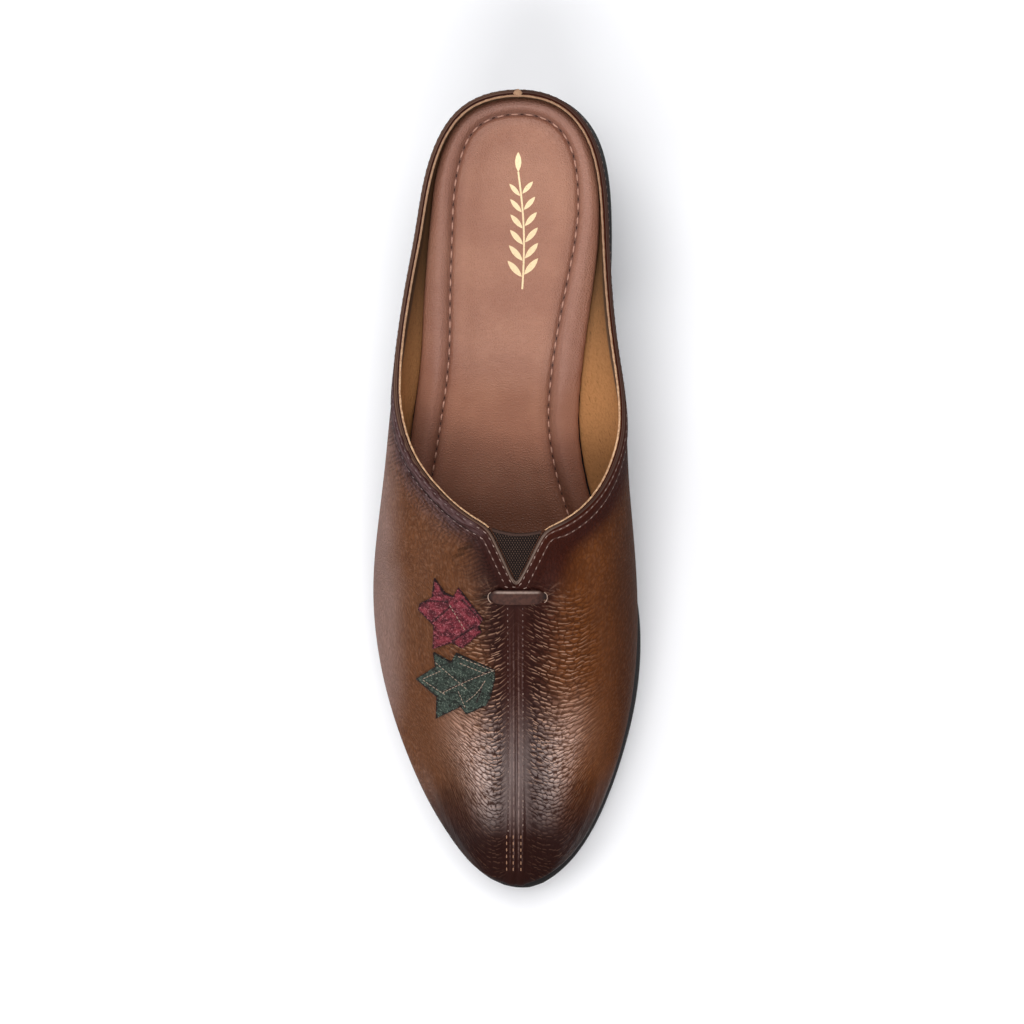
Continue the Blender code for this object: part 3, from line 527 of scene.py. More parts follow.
# Pebbles: flat scales between creases with painted shade in them, each with a painted highlight
# on its heel side, strongest on the toe's crown. They lie in hanging arcs, long ones on the vamp,
# rounder on the toe, and small and even on the sides.
wander = noise(grain, 6, 2, output="Color")
wander_v, wander_u = part(wander, "X") * 1.6, part(wander, "Y") * 1.8
toe_scales = ramp(y, -58, -76)
on_front = ramp(from_seam + drift, 31, 18) * ramp(y, -24, -36)
scale_at = vector(v / (2.5 - toe_scales * 0.9) + wander_v, u / 1.45 + wander_u)
scale_edge = cells(scale_at, 1, "DISTANCE_TO_EDGE", randomness=0.7)
scale_middle = cells(scale_at, 1, output="Position", randomness=0.7)
on_scale = node("VectorMath", {"operation": "SUBTRACT"}, {0: scale_at, 1: scale_middle})
up_scale, along_scale = part(on_scale, "Y"), abs(part(on_scale, "X"))
small_at = vector(v / 1.05 + wander_v, u / 1.45 + wander_u)
small_edge = cells(small_at, 1, "DISTANCE_TO_EDGE", randomness=0.9)
scale_top, small_top = ramp(scale_edge, 0.03, 0.27), ramp(small_edge, 0.0, 0.3)
scale_creases = (1 - scale_top) * ramp(abs(up_scale), 0.05, 0.28, 0.3, 1.0)
outer_flank = ramp(across_it, -8, -24) * (1 - on_front)
wrinkles = abs(noise(vector(v + wander_v, u / 3.5), 1, 1) - 0.5) * 4
wrinkles = ramp(wrinkles, 0.34, 0.0)
off_seam = ramp(from_seam, 2.0, 5.5, 0.04, 1.0)
scale_creases *= ramp(y, -112, -97, 0.35, 1.0) * off_seam
creases = scale_creases * on_front + (1 - small_top) * (1 - on_front) * (0.5 - outer_flank * 0.18)
creases += wrinkles * outer_flank * 0.2
plain = ramp(rim_gap, 4.5, 1.5)
creases *= 1 - plain * 0.7
# Painted shade in the creases.
skin = mix(creases * 0.8, skin, mix(0.25, CREASE_SHADE, skin))
uneven = noise(vector(v / 5, u / 2.2), 1, 2, 0.6)
# A painted highlight on each scale's heel-side edge.
crest_highlights = band(up_scale, 0.18, 0.19) * ramp(along_scale, 0.5, 0.3) * ramp(uneven, 0.36, 0.56)
crest_highlights *= on_front * ramp(y, -100, -76, 0.12, 1.0) * ramp(from_seam, 27, 14, 0.25, 1.0)
crest_highlights *= ramp(from_seam, 2.4, 6.0, 0.1, 1.0) * ramp(y, -36, -52, 0.55, 1.0)
skin = mix(crest_highlights * 0.75, skin, PALE_RUB_AND_HIGHLIGHT)
mottle = noise(vector(v + wander_v, u / 1.5 + wander_u), 1, 2, 0.6)
skin = mix(ramp(mottle, 0.45, 0.75) * dyed * (0.12 - inner * 0.06), skin, PALE_RUB_AND_HIGHLIGHT)

# The bar pulls creases out of the panels from both its ends: pale ridges with a painted highlight
# and troughs with painted shade between.
pull_x, pull_y = abs(x - BAR_AT[0]) - BAR_HALF + 2, y - BAR_AT[1]
pull_way = node("Math", {"operation": "ARCTAN2"}, {0: pull_y, 1: pull_x})
pull_far = node("VectorMath", {"operation": "LENGTH"}, {0: vector(pull_x, pull_y)}, "Value")
drawn = noise(vector(pull_way * 4.5, pull_far / 9, x / 60), 1, 1)
by_bar = ramp(pull_far, 8.5, 3.5) * ramp(pull_x, 0.5, 2.4)
skin = mix(ramp(drawn, 0.54, 0.66) * by_bar * 0.16, skin, PALE_RUB_AND_HIGHLIGHT)
skin = mix(ramp(drawn, 0.47, 0.38) * by_bar * 0.35, skin, CREASE_SHADE)

# The seam: both panels' edges stand up as fine ridges beside it, with a painted highlight along them.
ridges = band(from_seam, 0.75, 0.42) + band(from_seam, 1.9, 0.35) * 0.5
ridges *= ramp(y, -33, -60) * ramp(y, -119, -112)
ridges *= ramp(noise(here, 1.1, 2), 0.35, 0.65, 0.15, 1.0)
skin = mix(node("Clamp", inputs={0: ridges}) * 0.36, skin, dye(150, 120, 112))

# Small creases hang from the hem's lower row, deepest on the outer side, with painted shade in
# them. On the outer side a dull mauve sheen is painted on the hem.
hanging = noise(vector(rim_way / 5, rim_gap / 9), 1, 1) * 6 + rim_way * (2 * pi / 1.3)
hanging = hanging.sine() * 0.5 + 0.5
under_hem = ramp(rim_gap, 3.6, 5.0) * ramp(rim_gap + drift, 17, 7)
under_hem *= 1 - inner * 0.8
hem_wrinkles = noise(vector(rim_way / 4.5, rim_gap / 0.7), 1, 3, 0.6)
outer_hem = ramp(y, -20, -5) * ramp(y, 75, 35) * ramp(x, 0, -10)
painted_hem_sheen = ramp(rim_gap, 0.3, 1.2) * ramp(rim_gap + small_drift, 14, 4)
painted_hem_sheen *= ramp(hem_wrinkles, 0.35, 0.7, 0.08, 0.45) * (outer_hem * 0.94 + 0.06)
skin = mix(painted_hem_sheen, skin, dye(128, 104, 106))
skin = mix(ramp(hanging, 0.6, 0.05) * under_hem * 0.35, skin, CREASE_SHADE)
# Painted shade in the groove along the hem's lower row on the outer side.
hem_groove = band(rim_gap, HEM_ROWS[1] - 0.3, 0.55) * outer_hem
skin = mix(hem_groove * 0.75, skin, CREASE_SHADE)
# Paler lines are painted along the hem's two rows, plain to see on the inner side.
rows = band(hem_at, HEM_ROWS[0], 0.4) + band(hem_at, HEM_ROWS[1], 0.4)
rows *= ramp(hem_wrinkles, 0.3, 0.6, 0.3, 1.0) * (1 - outer_hem) * ramp(y, 40, 10)
skin = mix(rows * ramp(y, -26, -12, 0.1, 0.4), skin, dye(136, 106, 96))
pores = noise(here, 0.35, 2)

# The lining: brushed hide, golden, with a darker strip along the collar.
nap = noise(here, 0.8, 4, 0.75)
hairs = noise(vector(y / 2.6, part(here, "Z") / 0.5), 1, 3, 0.6)
lining = mix(ramp(rim_gap + nap * 1.2, 5.0, 6.4), COLLAR_LINING, LINING)
lining = mix(ramp(nap, 0.4, 0.7) * 0.45, lining, mix(0.5, lining, (0, 0, 0, 1)))
lining = mix(ramp(hairs, 0.56, 0.72) * 0.5, lining, dye(70, 50, 34))
fold = mix(ramp(across_it, -1, 1), FOLD, dye(58, 36, 30))
# A painted highlight along the fold's edge, weaker round the notch.
fold = mix(band(rim_gap, -0.25, 0.4) * (0.75 - by_notch * 0.6), fold, dye(146, 126, 114))
# Painted shade on the lining towards the heel.
lining = mix(ramp(y, 25, 78) * 0.85, lining, dye(74, 56, 40))
skin = mix(ramp(rim_gap, 0.25, -0.35), skin, fold)
leather.feed(Base_Color=mix(inside, skin, lining))

# Wax polish shines on the crown of the toe, beside the seam, and faintly along the toe's edges.
polish = ramp(y, -56, -90) * ramp(y, -108, -97)
polish *= ramp(from_seam - (y + 70) * 0.35, 27, 15)
polish = (polish * 0.97 + 0.03) * ramp(from_seam - inner * 3, 3, 10, 0.35, 1.0)
polish *= ramp(y, -112, -104, 0.15, 1.0)
polish += ramp(from_seam - (y + 95) * 0.5, 21, 26) * ramp(y, -78, -94) * 0.25
gloss = (1 - inside) * (1 - creases * 0.95) * ramp(rim_gap, 3.0, 9.0, 0.2, 1.0) * polish
leather.feed(Coat_Weight=gloss, Roughness=0.62 + inside * 0.3)

# How high each of these stands.
row_dents = band(hem_at, HEM_ROWS[0], 0.5) + band(hem_at, HEM_ROWS[1], 0.5)
dome, small_dome = ramp(scale_edge, 0.0, 0.42), ramp(small_edge, 0.0, 0.42)
front_height = (dome * 0.13 + band(up_scale, 0.1, 0.5) * 0.15 + uneven * 0.2) * off_seam
side_height = small_dome * 0.13 + uneven * 0.12 + mottle * 0.1 - wrinkles * outer_flank * 0.15
height = front_height * on_front + side_height * (1 - on_front)
height = height * (1 - plain * 0.8) + ramp(hanging, 0.0, 1.0) * under_hem * 0.25
height += hem_wrinkles * plain * 0.3 - row_dents * 0.12 - hem_groove * 0.3
height += pores * 0.02 + ramp(drawn, 0.4, 0.65) * by_bar * 0.3 + ridges * 0.1
leather.relief(height * (1 - inside) + nap * 0.2 * inside)
leather.put_on(upper, "upper_leather", "upper")

# -------- thread
# Two rows of waxed thread hold the folded hem all round the collar and down both sides of the notch,
# one row runs down each side of the centre seam, and three short rows close the toe.

THREAD = 0.38  # thickness
HEM_PITCH, HEM_STITCH = 2.5, 1.7
NOTCH_FOOT_Y, NOTCH_FOOT_HALF = -28.5, 1.6  # no stitch is set right at the notch's tip
SEAM_ROWS, SEAM_STITCHES_Y = (-2.5, 2.1), (-34.2, -106)
SEAM_PITCH, SEAM_STITCH = 1.9, 0.95
TOE_ROWS, TOE_STITCHES_Y = (-3.0, -0.9, 1.5), (-106.5, -118.5)
TOE_PITCH, TOE_STITCH = 2.1, 1.5


def ball(radius, segments, rings):
    """A ball in the middle of the scene, opened in edit mode."""
    bpy.ops.object.select_all(action="DESELECT")
    bpy.ops.mesh.primitive_uv_sphere_add(segments=segments, ring_count=rings, radius=radius * MM)
    made = bpy.context.object
    opened(made)
    return made


def new_stitch(length, thickness):
    """One stitch along X: a short round length of thread whose two ends dive into the leather."""
    stitch = ball(thickness / 2, 8, 6)
    bpy.ops.transform.rotate(value=radians(90), orient_axis="Y", center_override=(0, 0, 0))
    bpy.ops.transform.resize(value=(length / thickness, 1, 1), center_override=(0, 0, 0))
    bpy.ops.object.mode_set(mode="OBJECT")
    points = places(stitch)
    # Fuller ends than an egg's, bent down by half the thickness.
    share = points[:, 0] / (length / 2)
    egg = np.maximum(np.sqrt(1 - share**2 * 0.7), 0.3)
    points[:, 1:] *= ((1 - share**6 * 0.3) / egg)[:, None]
    points[:, 2] -= thickness * 0.5 * share**2
    put(stitch, points)
    return stitch


def from_faces(name, points, faces):
    """A new piece from its points, in millimetres, and its faces."""
    mesh = bpy.data.meshes.new(name)
    mesh.from_pydata((np.array(points) * MM).tolist(), [], faces)
    return added(name, mesh)


def sewn(name, stitch, rows, skin, slant=0.0, lift=0.0):
    """One mesh of a stitch set along rows of places on a skin, each turned along its row."""
    pattern = places(stitch)
    rings = [list(face.vertices) for face in stitch.data.polygons]
    bpy.data.objects.remove(stitch)
    points, faces = [], []
    for row in rows:
        ahead = np.gradient(row, axis=0)
        for place, way in zip(row, ahead):
            hit, normal, _, _ = skin.find_nearest(Vector(place))
            along = Vector(way)
            along = (along - along.dot(normal) * normal).normalized()
            along.rotate(Matrix.Rotation(radians(slant), 3, normal))
            turned = Matrix((along, normal.cross(along), normal)).transposed()
            start = len(points) * len(pattern)
            points.append(pattern @ np.array(turned).T + np.array(hit + normal * lift))
            faces += [[start + i for i in ring] for ring in rings]
    piece = from_faces(name, np.concatenate(points), faces)
    only(piece)
    bpy.ops.object.shade_smooth()
    return piece


def down_vamp(offset, start, end, pitch):
    """Places down the vamp, this far to the side of the centre seam."""
    plan = [(seam_x(y) + offset, y) for y in np.arange(start, end, -pitch)]
    return np.array([(x, y, skin_height(x, y)) for x, y in plan])


hem_rows = []
for level in HEM_ROWS:
    row = evenly(level_lines(upper, hem_place, level, outside)[0], HEM_PITCH)
    off_tip = abs(row[:, 0] - seam_x(row[:, 1])) > NOTCH_FOOT_HALF
    hem_rows.append(row[(row[:, 1] > NOTCH_FOOT_Y) | off_tip])
thread = Finish("waxed_thread", Roughness=0.6)
twist = thread.noise(thread.here, 0.25, 2)
waxed = thread.mix(thread.fade(twist, 0.35, 0.7), dye(108, 82, 74), dye(168, 142, 130))
outer_side = thread.fade(thread.part(thread.here, "X"), -3, -14) * 0.65
thread.feed(Base_Color=thread.mix(outer_side, waxed, dye(70, 54, 56)))
thread.relief(twist * 0.12)
stitch = new_stitch(HEM_STITCH, THREAD)
hem_thread = sewn("hem_stitches", stitch, hem_rows, upper_skin, slant=6, lift=-0.09)
thread.put_on(hem_thread, "upper_leather")

seam_rows = [down_vamp(offset, *SEAM_STITCHES_Y, SEAM_PITCH) for offset in SEAM_ROWS]
stitch = new_stitch(SEAM_STITCH, THREAD * 0.9)
seam_thread = sewn("seam_stitches", stitch, seam_rows, upper_skin, lift=-0.04)
brown = Finish("brown_thread", Roughness=0.7)
twine = brown.fade(brown.noise(brown.here, 1.5, 2), 0.4, 0.65)
brown.feed(Base_Color=brown.mix(twine, dye(70, 44, 38), dye(140, 116, 104)))
brown.put_on(seam_thread, "upper_leather")
toe_rows = [down_vamp(offset, *TOE_STITCHES_Y, TOE_PITCH) for offset in TOE_ROWS]
toe_thread = sewn("toe_stitches", new_stitch(TOE_STITCH, THREAD * 0.9), toe_rows, upper_skin)
toe_yarn = Finish("toe_thread", Roughness=0.6, Base_Color=dye(150, 108, 80))
toe_yarn.put_on(toe_thread, "upper_leather")

# -------- lining edge
# The lining is glued to the panels and trimmed level with the folded collar. Its cut edge shows as
# a pale line round the foot's opening, from one corner of the notch to the other.

EDGE_RADIUS, EDGE_STEP, EDGE_LIFT, EDGE_LUMPS = 0.34, 0.8, 0.04, 0.03
NOTCH_OUTER_X, NOTCH_INNER_X, NOTCH_TOP_Y = -3.3, 13.5, -9.6
ROUNDING = 3  # how round a strip's section is


def tube(name, line, radius):
    """A round strip along a line, made from a curve with a round section."""
    curve = bpy.data.curves.new(name, "CURVE")
    curve.dimensions = "3D"
    curve.bevel_depth, curve.bevel_resolution, curve.use_fill_caps = radius * MM, ROUNDING, True
    spline = curve.splines.new("POLY")
    spline.points.add(len(line) - 1)
    for point, place in zip(spline.points, line):
        point.co = (*(Vector(place) * MM), 1)
    only(added(name, curve))
    bpy.ops.object.convert(target="MESH")
    return bpy.context.object


in_notch = (rim_loop[:, 0] > NOTCH_OUTER_X) & (rim_loop[:, 0] < NOTCH_INNER_X)
in_notch &= rim_loop[:, 1] < NOTCH_TOP_Y
first = int(np.argmax(in_notch))
collar_loop, in_notch = np.roll(rim_loop, -first, axis=0), np.roll(in_notch, -first)
collar_line = evenly(collar_loop[~in_notch], EDGE_STEP)
edge = tube("lining_edge", collar_line + (0, 0, EDGE_LIFT), EDGE_RADIUS)
edge_points, edge_out = places(edge), outward(edge)
ex, ey = edge_points[:, 0], edge_points[:, 1]
lumps = EDGE_LUMPS * (np.sin(ex * 1.3 + ey * 2.1) + np.sin(ey * 0.9 - ex * 3.1))
put(edge, edge_points + edge_out * lumps[:, None])
raw_edge = Finish("raw_lining_edge", Roughness=0.85)
fuzz = raw_edge.noise(raw_edge.here, 0.8, 3)
peach = raw_edge.mix(raw_edge.fade(fuzz, 0.3, 0.75), dye(170, 126, 92), dye(228, 188, 148))
dulled = raw_edge.fade(raw_edge.part(raw_edge.here, "Y"), 10, 70) * 0.75
raw_edge.feed(Base_Color=raw_edge.mix(dulled, peach, dye(142, 106, 82)))
raw_edge.relief(fuzz * 0.15)
raw_edge.put_on(edge, "upper_leather")

# -------- elastic
# A triangle of woven elastic fills the notch and lets the collar give over the instep. It lies
# behind the folded edges, and its top is bound.

elastic = smoothed(cad_copy("elastic", "elastic_gore"), 3, held_above=60)
gore_points, gore_out = places(elastic), outward(elastic)
gore_top = gore_points[(gore_out[:, 1] > 0.6) & (gore_points[:, 1] > -13)]
write_tag(elastic, "from_top", gaps(gore_points, gore_top))
webbing = Finish("elastic_webbing", Specular_IOR_Level=0.1)
wx, wy = webbing.part(webbing.here, "X"), webbing.part(webbing.here, "Y")
wale = ((wx * 1.25 + wy * 0.75) * (2 * pi)).sine()
rib = ((wx * 1.25 - wy * 0.75) * (2 * pi)).sine()
weave = webbing.fade(wale, -0.4, 0.9) * webbing.fade(rib, -0.7, 0.6)
bound = webbing.fade(webbing.tag("from_top"), 0.9, 0.65)
woven = webbing.mix(weave, dye(15, 8, 8), dye(88, 67, 55))
webbing.feed(Base_Color=webbing.mix(bound, woven, dye(66, 48, 42)), Roughness=0.75 + weave * 0.1)
lint = webbing.noise(webbing.here, 0.5)
webbing.relief(weave * (1 - bound) * 0.16 + bound * 0.3 + lint * bound * 0.15)
webbing.put_on(elastic, "elastic_webbing", "elastic")

# -------- bar
# A narrow strap of calf crosses the seam below the notch. It comes out of one slit and goes into
# another, and is drawn down tight at both, which pulls small creases into the panels.

BAR_TOP, BAR_SHORTER, BAR_WIDER = 1.4, 0.915, 1.12
BAR_ENDS_SINK, BAR_ENDS_NARROWER = 0.9, 0.42
LIP_RADIUS, LIP_THICK, LIP_IN = 1.8, 0.14, 2.0

bar = smoothed(cad_copy("tab", "leather_bar"), 2)
bar_points = places(bar)
bar_middle = np.mean(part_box("tab"), axis=0) / MM
end_share = fade(abs(bar_points[:, 0] - bar_middle[0]), BAR_HALF - 2.6, BAR_HALF + 0.4)
ground = [(gx, gy) for gx in np.linspace(-4, 13, 9) for gy in (-33.5, -31, -28.3)]
terms = np.array([(1, gx, gy, gx * gx, gy * gy) for gx, gy in ground])
slopes = np.linalg.lstsq(terms, np.array([skin_height(*g) for g in ground]), rcond=None)[0]


def under_bar(x, y):
    """The height of the panels under the bar, evened out."""
    return np.stack([np.ones(len(x)), x, y, x * x, y * y], axis=1) @ slopes


rise = BAR_TOP * np.tanh((bar_points[:, 2] - under_bar(*bar_points.T[:2])) / BAR_TOP)
rise -= BAR_ENDS_SINK * end_share
wider = BAR_WIDER * (1 - BAR_ENDS_NARROWER * end_share)
bar_points[:, 0] = BAR_AT[0] + (bar_points[:, 0] - bar_middle[0]) * BAR_SHORTER
bar_points[:, 1] = BAR_AT[1] + (bar_points[:, 1] - bar_middle[1]) * wider
bar_points[:, 2] = under_bar(*bar_points.T[:2]) + rise
put(bar, bar_points)
strap = Finish("bar_calf", Coat_Weight=0.04, Coat_Roughness=0.3, Specular_IOR_Level=0.1)
off_middle = abs(strap.part(strap.here, "X") - BAR_AT[0])
bar_end = strap.fade(off_middle, 7.0, 8.4)
bar_cloud = strap.noise(strap.here, 1.2, 3)
bar_side = strap.part(strap.here, "Y") - BAR_AT[1]
bar_dye = strap.mix(strap.fade(bar_cloud, 0.3, 0.7), dye(50, 27, 21), dye(70, 41, 32))
# A painted highlight along the bar's upper edge, fading towards its ends.
bar_highlight = strap.band(bar_side, 1.5, 0.6) * strap.fade(off_middle, 7.5, 5.5) * (bar_cloud + 0.3)
bar_dye = strap.mix(bar_highlight * 0.6, bar_dye, dye(190, 168, 156))
bar_dye = strap.mix(strap.fade(bar_side, 1.9, 2.3), bar_dye, dye(30, 16, 13))
bar_dye = strap.mix(bar_end * 0.85, bar_dye, dye(24, 12, 10))
strap.feed(Base_Color=bar_dye, Roughness=0.5 + bar_cloud * 0.2)
strap.relief(bar_cloud * 0.12)
strap.put_on(bar, "tab_leather", "tab")

# The slits' cut lips show pale at the two ends of the bar.
lip = Finish("cut_lip", Roughness=0.8)
lip.feed(Base_Color=lip.mix(lip.noise(lip.here, 1.2), dye(110, 84, 72), dye(206, 176, 156)))
for side, name in ((-1, "outer_slit_lip"), (1, "inner_slit_lip")):
    arc = []
    for turn in np.radians(np.linspace(-60, 60, 24)):
        px = BAR_AT[0] + side * (BAR_HALF - LIP_IN + LIP_RADIUS * cos(turn))
        py = BAR_AT[1] + LIP_RADIUS * sin(turn)
        arc.append((px, py, skin_height(px, py) + 0.04))
    lip.put_on(tube(name, np.array(arc), LIP_THICK), "tab_leather")

# -------- patches
# A bloom of crimson suede and a leaf of dark green suede are cut out, glued down on the outer side
# of the vamp, and sewn with veins of pale thread. Their cut edges are sealed dark.

PATCH_PRESSED = 0.6  # how far the glue draws a patch down onto the panel


def suede(name, deep, bright, specks):
    """Rough suede, with painted shade in the patch's folds, and darker along its cut edge."""
    made = Finish(name, Specular_IOR_Level=0.05, Roughness=0.95, Sheen_Weight=0.06, Sheen_Roughness=0.5)
    pile, tufts = made.noise(made.here, 0.5, 3, 0.8), made.noise(made.here, 0.9, 2, 0.6)
    blotch = made.noise(made.here, 2.4, 4, 0.6)
    colour = made.mix(made.fade(blotch, 0.35, 0.65), deep, bright)
    colour = made.mix(made.fade(pile, 0.5, 0.66) * made.fade(tufts, 0.4, 0.6), colour, specks)
    colour = made.mix(made.fade(pile + tufts * 0.4, 0.66, 0.52) * 0.8, colour, dye(26, 12, 15))
    # Painted shade in the patch's folds.
    folds = made.fade(made.tag("to_fold") + pile * 1.1 - 0.5, 0.5, 0.1)
    colour = made.mix(folds * 0.8, colour, dye(36, 8, 13))
    frayed = made.fade(made.tag("to_edge") + (tufts + blotch + pile * 0.6) * 1.3 - 1.7, 0.5, 0.0)
    made.feed(Base_Color=made.mix(frayed * 0.9, colour, dye(30, 16, 16)))
    made.relief(pile * 0.5 + tufts * 0.25 - folds * 0.3)
    return made


def applique(node, name, folds):
    """A patch with the tags to_edge and to_fold: how far a place is from its cut edge and its folds."""
    patch = smoothed(cad_copy(node, name), 4, held_above=50)
    facing = outward(patch)
    up = Vector(facing[facing[:, 2] > 0].mean(axis=0)).normalized()
    points = places(patch) - PATCH_PRESSED * np.array(up)
    put(patch, points)
    flat = Vector((0, 0, 1)).rotation_difference(up).inverted()
    level = np.array([flat @ Vector(p) for p in points])
    sides = abs(facing @ np.array(up)) < 0.6
    write_tag(patch, "to_edge", gaps(level * (1, 1, 0), level[sides] * (1, 1, 0)))
    lines = [evenly(np.array([(*place, 0) for place in fold]), 0.1) for fold in folds]
    write_tag(patch, "to_fold", gaps(points * (1, 1, 0), np.concatenate(lines)))
    return patch


BLOOM_FOLDS = (
    ((-11.8, -31.5), (-9.0, -34.8), (-6.0, -38.2)),
    ((-8.5, -39.9), (-12.7, -41.5), (-15.2, -44.5)),
    ((-21.5, -38.6), (-18.1, -36.9), (-15.6, -33.6)),
    ((-23.6, -31.9), (-19.4, -31.5), (-16.5, -32.3)),
)
LEAF_FOLDS = (
    ((-18.6, -60.3), (-12.5, -57.5), (-3.5, -53.4)),
    ((-8.2, -63.5), (-6.3, -59.6), (-5.9, -57.1)),
)

bloom = applique("bloom_patch", "bloom_applique", BLOOM_FOLDS)
crimson = suede("crimson_suede", dye(72, 26, 33), dye(130, 50, 60), dye(178, 106, 112))
crimson.put_on(bloom, "red_suede", "bloom_patch")
leaf = applique("leaf_patch", "leaf_applique", LEAF_FOLDS)
green = suede("green_suede", dye(34, 40, 36), dye(56, 66, 59), dye(122, 132, 118))
green.put_on(leaf, "green_suede", "leaf_patch")

# The way of each vein over its patch, in plan.
BLOOM_VEINS = (((-15.6, -33.6), (-13.1, -37.3), (-11.5, -40.4)),)
LEAF_VEINS = (
    ((-20.4, -51.5), (-16.6, -54.9), (-12.7, -57.6), (-11.6, -59.0)),
    ((-3.0, -53.6), (-7.2, -55.0), (-10.9, -56.6), (-13.7, -58.0), (-18.4, -60.5)),
    ((-12.7, -51.4), (-5.9, -54.2)),
    ((-13.7, -60.5), (-12.0, -64.8)),
    ((-24.6, -57.0), (-21.6, -59.0), (-18.4, -61.0)),
    ((-24.4, -56.2), (-19.6, -54.0)),
    ((-13.2, -49.3), (-8.0, -51.4), (-3.4, -53.2)),
    ((-5.6, -57.0), (-6.2, -59.6), (-8.8, -62.0), (-11.2, -63.2)),
)
VEIN_PITCH, VEIN_STITCH, VEIN_THREAD = 1.25, 1.15, 0.26

vein_thread = Finish("vein_thread", Roughness=0.7, Base_Color=dye(152, 130, 112))
for name, patch, slot, ways in (
    ("bloom_veins", bloom, "red_suede", BLOOM_VEINS),
    ("leaf_veins", leaf, "green_suede", LEAF_VEINS),
):
    skin_of_patch = surface(patch)
    rows = []
    for way in ways:
        line = np.array([(*place, skin_height(*place, skin_of_patch)) for place in way])
        rows.append(evenly(line, VEIN_PITCH))
    veins = sewn(name, new_stitch(VEIN_STITCH, VEIN_THREAD), rows, skin_of_patch)
    vein_thread.put_on(veins, slot)

# -------- insole
# The insole is a board covered with smooth kid over foam. Its padded edge is turned like a roll and
# sewn down in a channel, and the middle is dished by the foot of the last.

CHANNEL_INSET, CHANNEL_WAIST = 5.5, 1.7  # from the insole's side, and how much more in the waist
WAIST_Y, WAIST_REACH = 28.0, 42.0
SOCK_PITCH, SOCK_STITCH, SOCK_THREAD = 4.4, 2.4, 0.5
HOLE_LONG, HOLE_WIDE = 1.5, 0.42
CHANNEL_DEPTH, BANK, ROLL_CROWN = 1.0, 0.6, 0.4
BANK_IN, CROWN_OUT = 4.5, 3.2  # how far from the channel the bank and the roll's crown lie
LINING_CLEAR, MOST_SPREAD, SPREAD_INSET = 0.2, 3.6, 4.0  # how the padding fills out to the lining
SPREAD_NEAR, HEEL_STRETCH = 5.0, 1.5

insole = smoothed(cad_copy("insole", "padded_insole"), 3, held_above=60)
pad_points = places(insole)
pad_points[:, 1] += HEEL_STRETCH * fade(pad_points[:, 1], 45, 112)
pad_out = outward(insole)
upright_side = abs(pad_out[:, 2]) < 0.35
side_line = pad_points[upright_side] * (1, 1, 0)
inset = gaps(pad_points * (1, 1, 0), side_line)
lining_skin = surface(upper, read_tag(upper, "lining") > 0.5)
side_tree, side_facing = tree_of(side_line), pad_out[upright_side] * (1, 1, 0)
room = []  # from the insole's side to the lining, all round
for place, facing in zip(pad_points[upright_side], side_facing):
    reach = lining_skin.ray_cast(Vector(place), Vector(facing))[3]
    room.append(min(max((reach or 0) - LINING_CLEAR, 0), MOST_SPREAD))
spread = np.zeros((len(pad_points), 3))
for i in np.flatnonzero(inset < SPREAD_INSET):
    found = side_tree.find_range(pad_points[i] * (1, 1, 0), SPREAD_NEAR + inset[i])
    near = [k for _, k, _ in found]
    way = side_facing[near].mean(axis=0)
    filled = np.mean([room[k] for k in near]) * (1 - inset[i] / SPREAD_INSET)
    spread[i] = way / np.linalg.norm(way) * filled
in_waist = np.exp(-(((pad_points[:, 1] - WAIST_Y) / WAIST_REACH) ** 2))
from_channel = inset - (CHANNEL_INSET + CHANNEL_WAIST * in_waist)
pad_top = pad_out[:, 2] > 0.2
sink = CHANNEL_DEPTH * (1 - fade(abs(from_channel), 0, 1.3))
bank = BANK * (1 - fade(abs(from_channel - BANK_IN), 0, 4))
crown = ROLL_CROWN * (1 - fade(abs(from_channel + CROWN_OUT), 0, 2.6))
pad_points += spread + (0, 0, 1) * ((crown + bank - sink) * pad_top)[:, None]
put(insole, pad_points)
write_tag(insole, "from_channel", from_channel)
insole_skin = surface(insole)
sock = Finish("sock_leather", Coat_Roughness=0.35, Specular_IOR_Level=0.5)
channel_gap = sock.tag("from_channel")
sy = sock.part(sock.here, "Y")
kid = sock.noise(sock.here, 0.45, 3, 0.6)
kid_cells = sock.fade(sock.cells(sock.here, 0.8, "DISTANCE_TO_EDGE"), 0, 0.3)
stain = sock.noise(sock.here, 22, 3)
sock_dye = sock.mix(sock.fade(stain, 0.35, 0.7), dye(152, 102, 81), dye(164, 114, 91))
# A painted highlight on the roll's crown.
roll = sock.band(channel_gap, -2.6, 2.8)
sock_dye = sock.mix(roll * 0.35, sock_dye, dye(172, 124, 108))
# Painted shade in the stitch channel and on the slope just inside it.
sock_dye = sock.mix(sock.band(channel_gap, 0.0, 0.9) * 0.65, sock_dye, dye(74, 38, 28))
sock_dye = sock.mix(sock.fade(channel_gap, 0.5, 4.0, 0.28, 0.0), sock_dye, dye(96, 54, 42))
# Painted shadow of the vamp over the front of the insole.
sock_dye = sock.mix(sock.fade(sy + stain * 6 - 3, 14, -9), sock_dye, dye(106, 64, 45))
sock.feed(Base_Color=sock_dye, Roughness=0.5 + kid * 0.1, Coat_Weight=0.12 + roll * 0.1)
sock.relief(kid * 0.1 + kid_cells * 0.1)
sock.put_on(insole, "insole_leather", "insole")

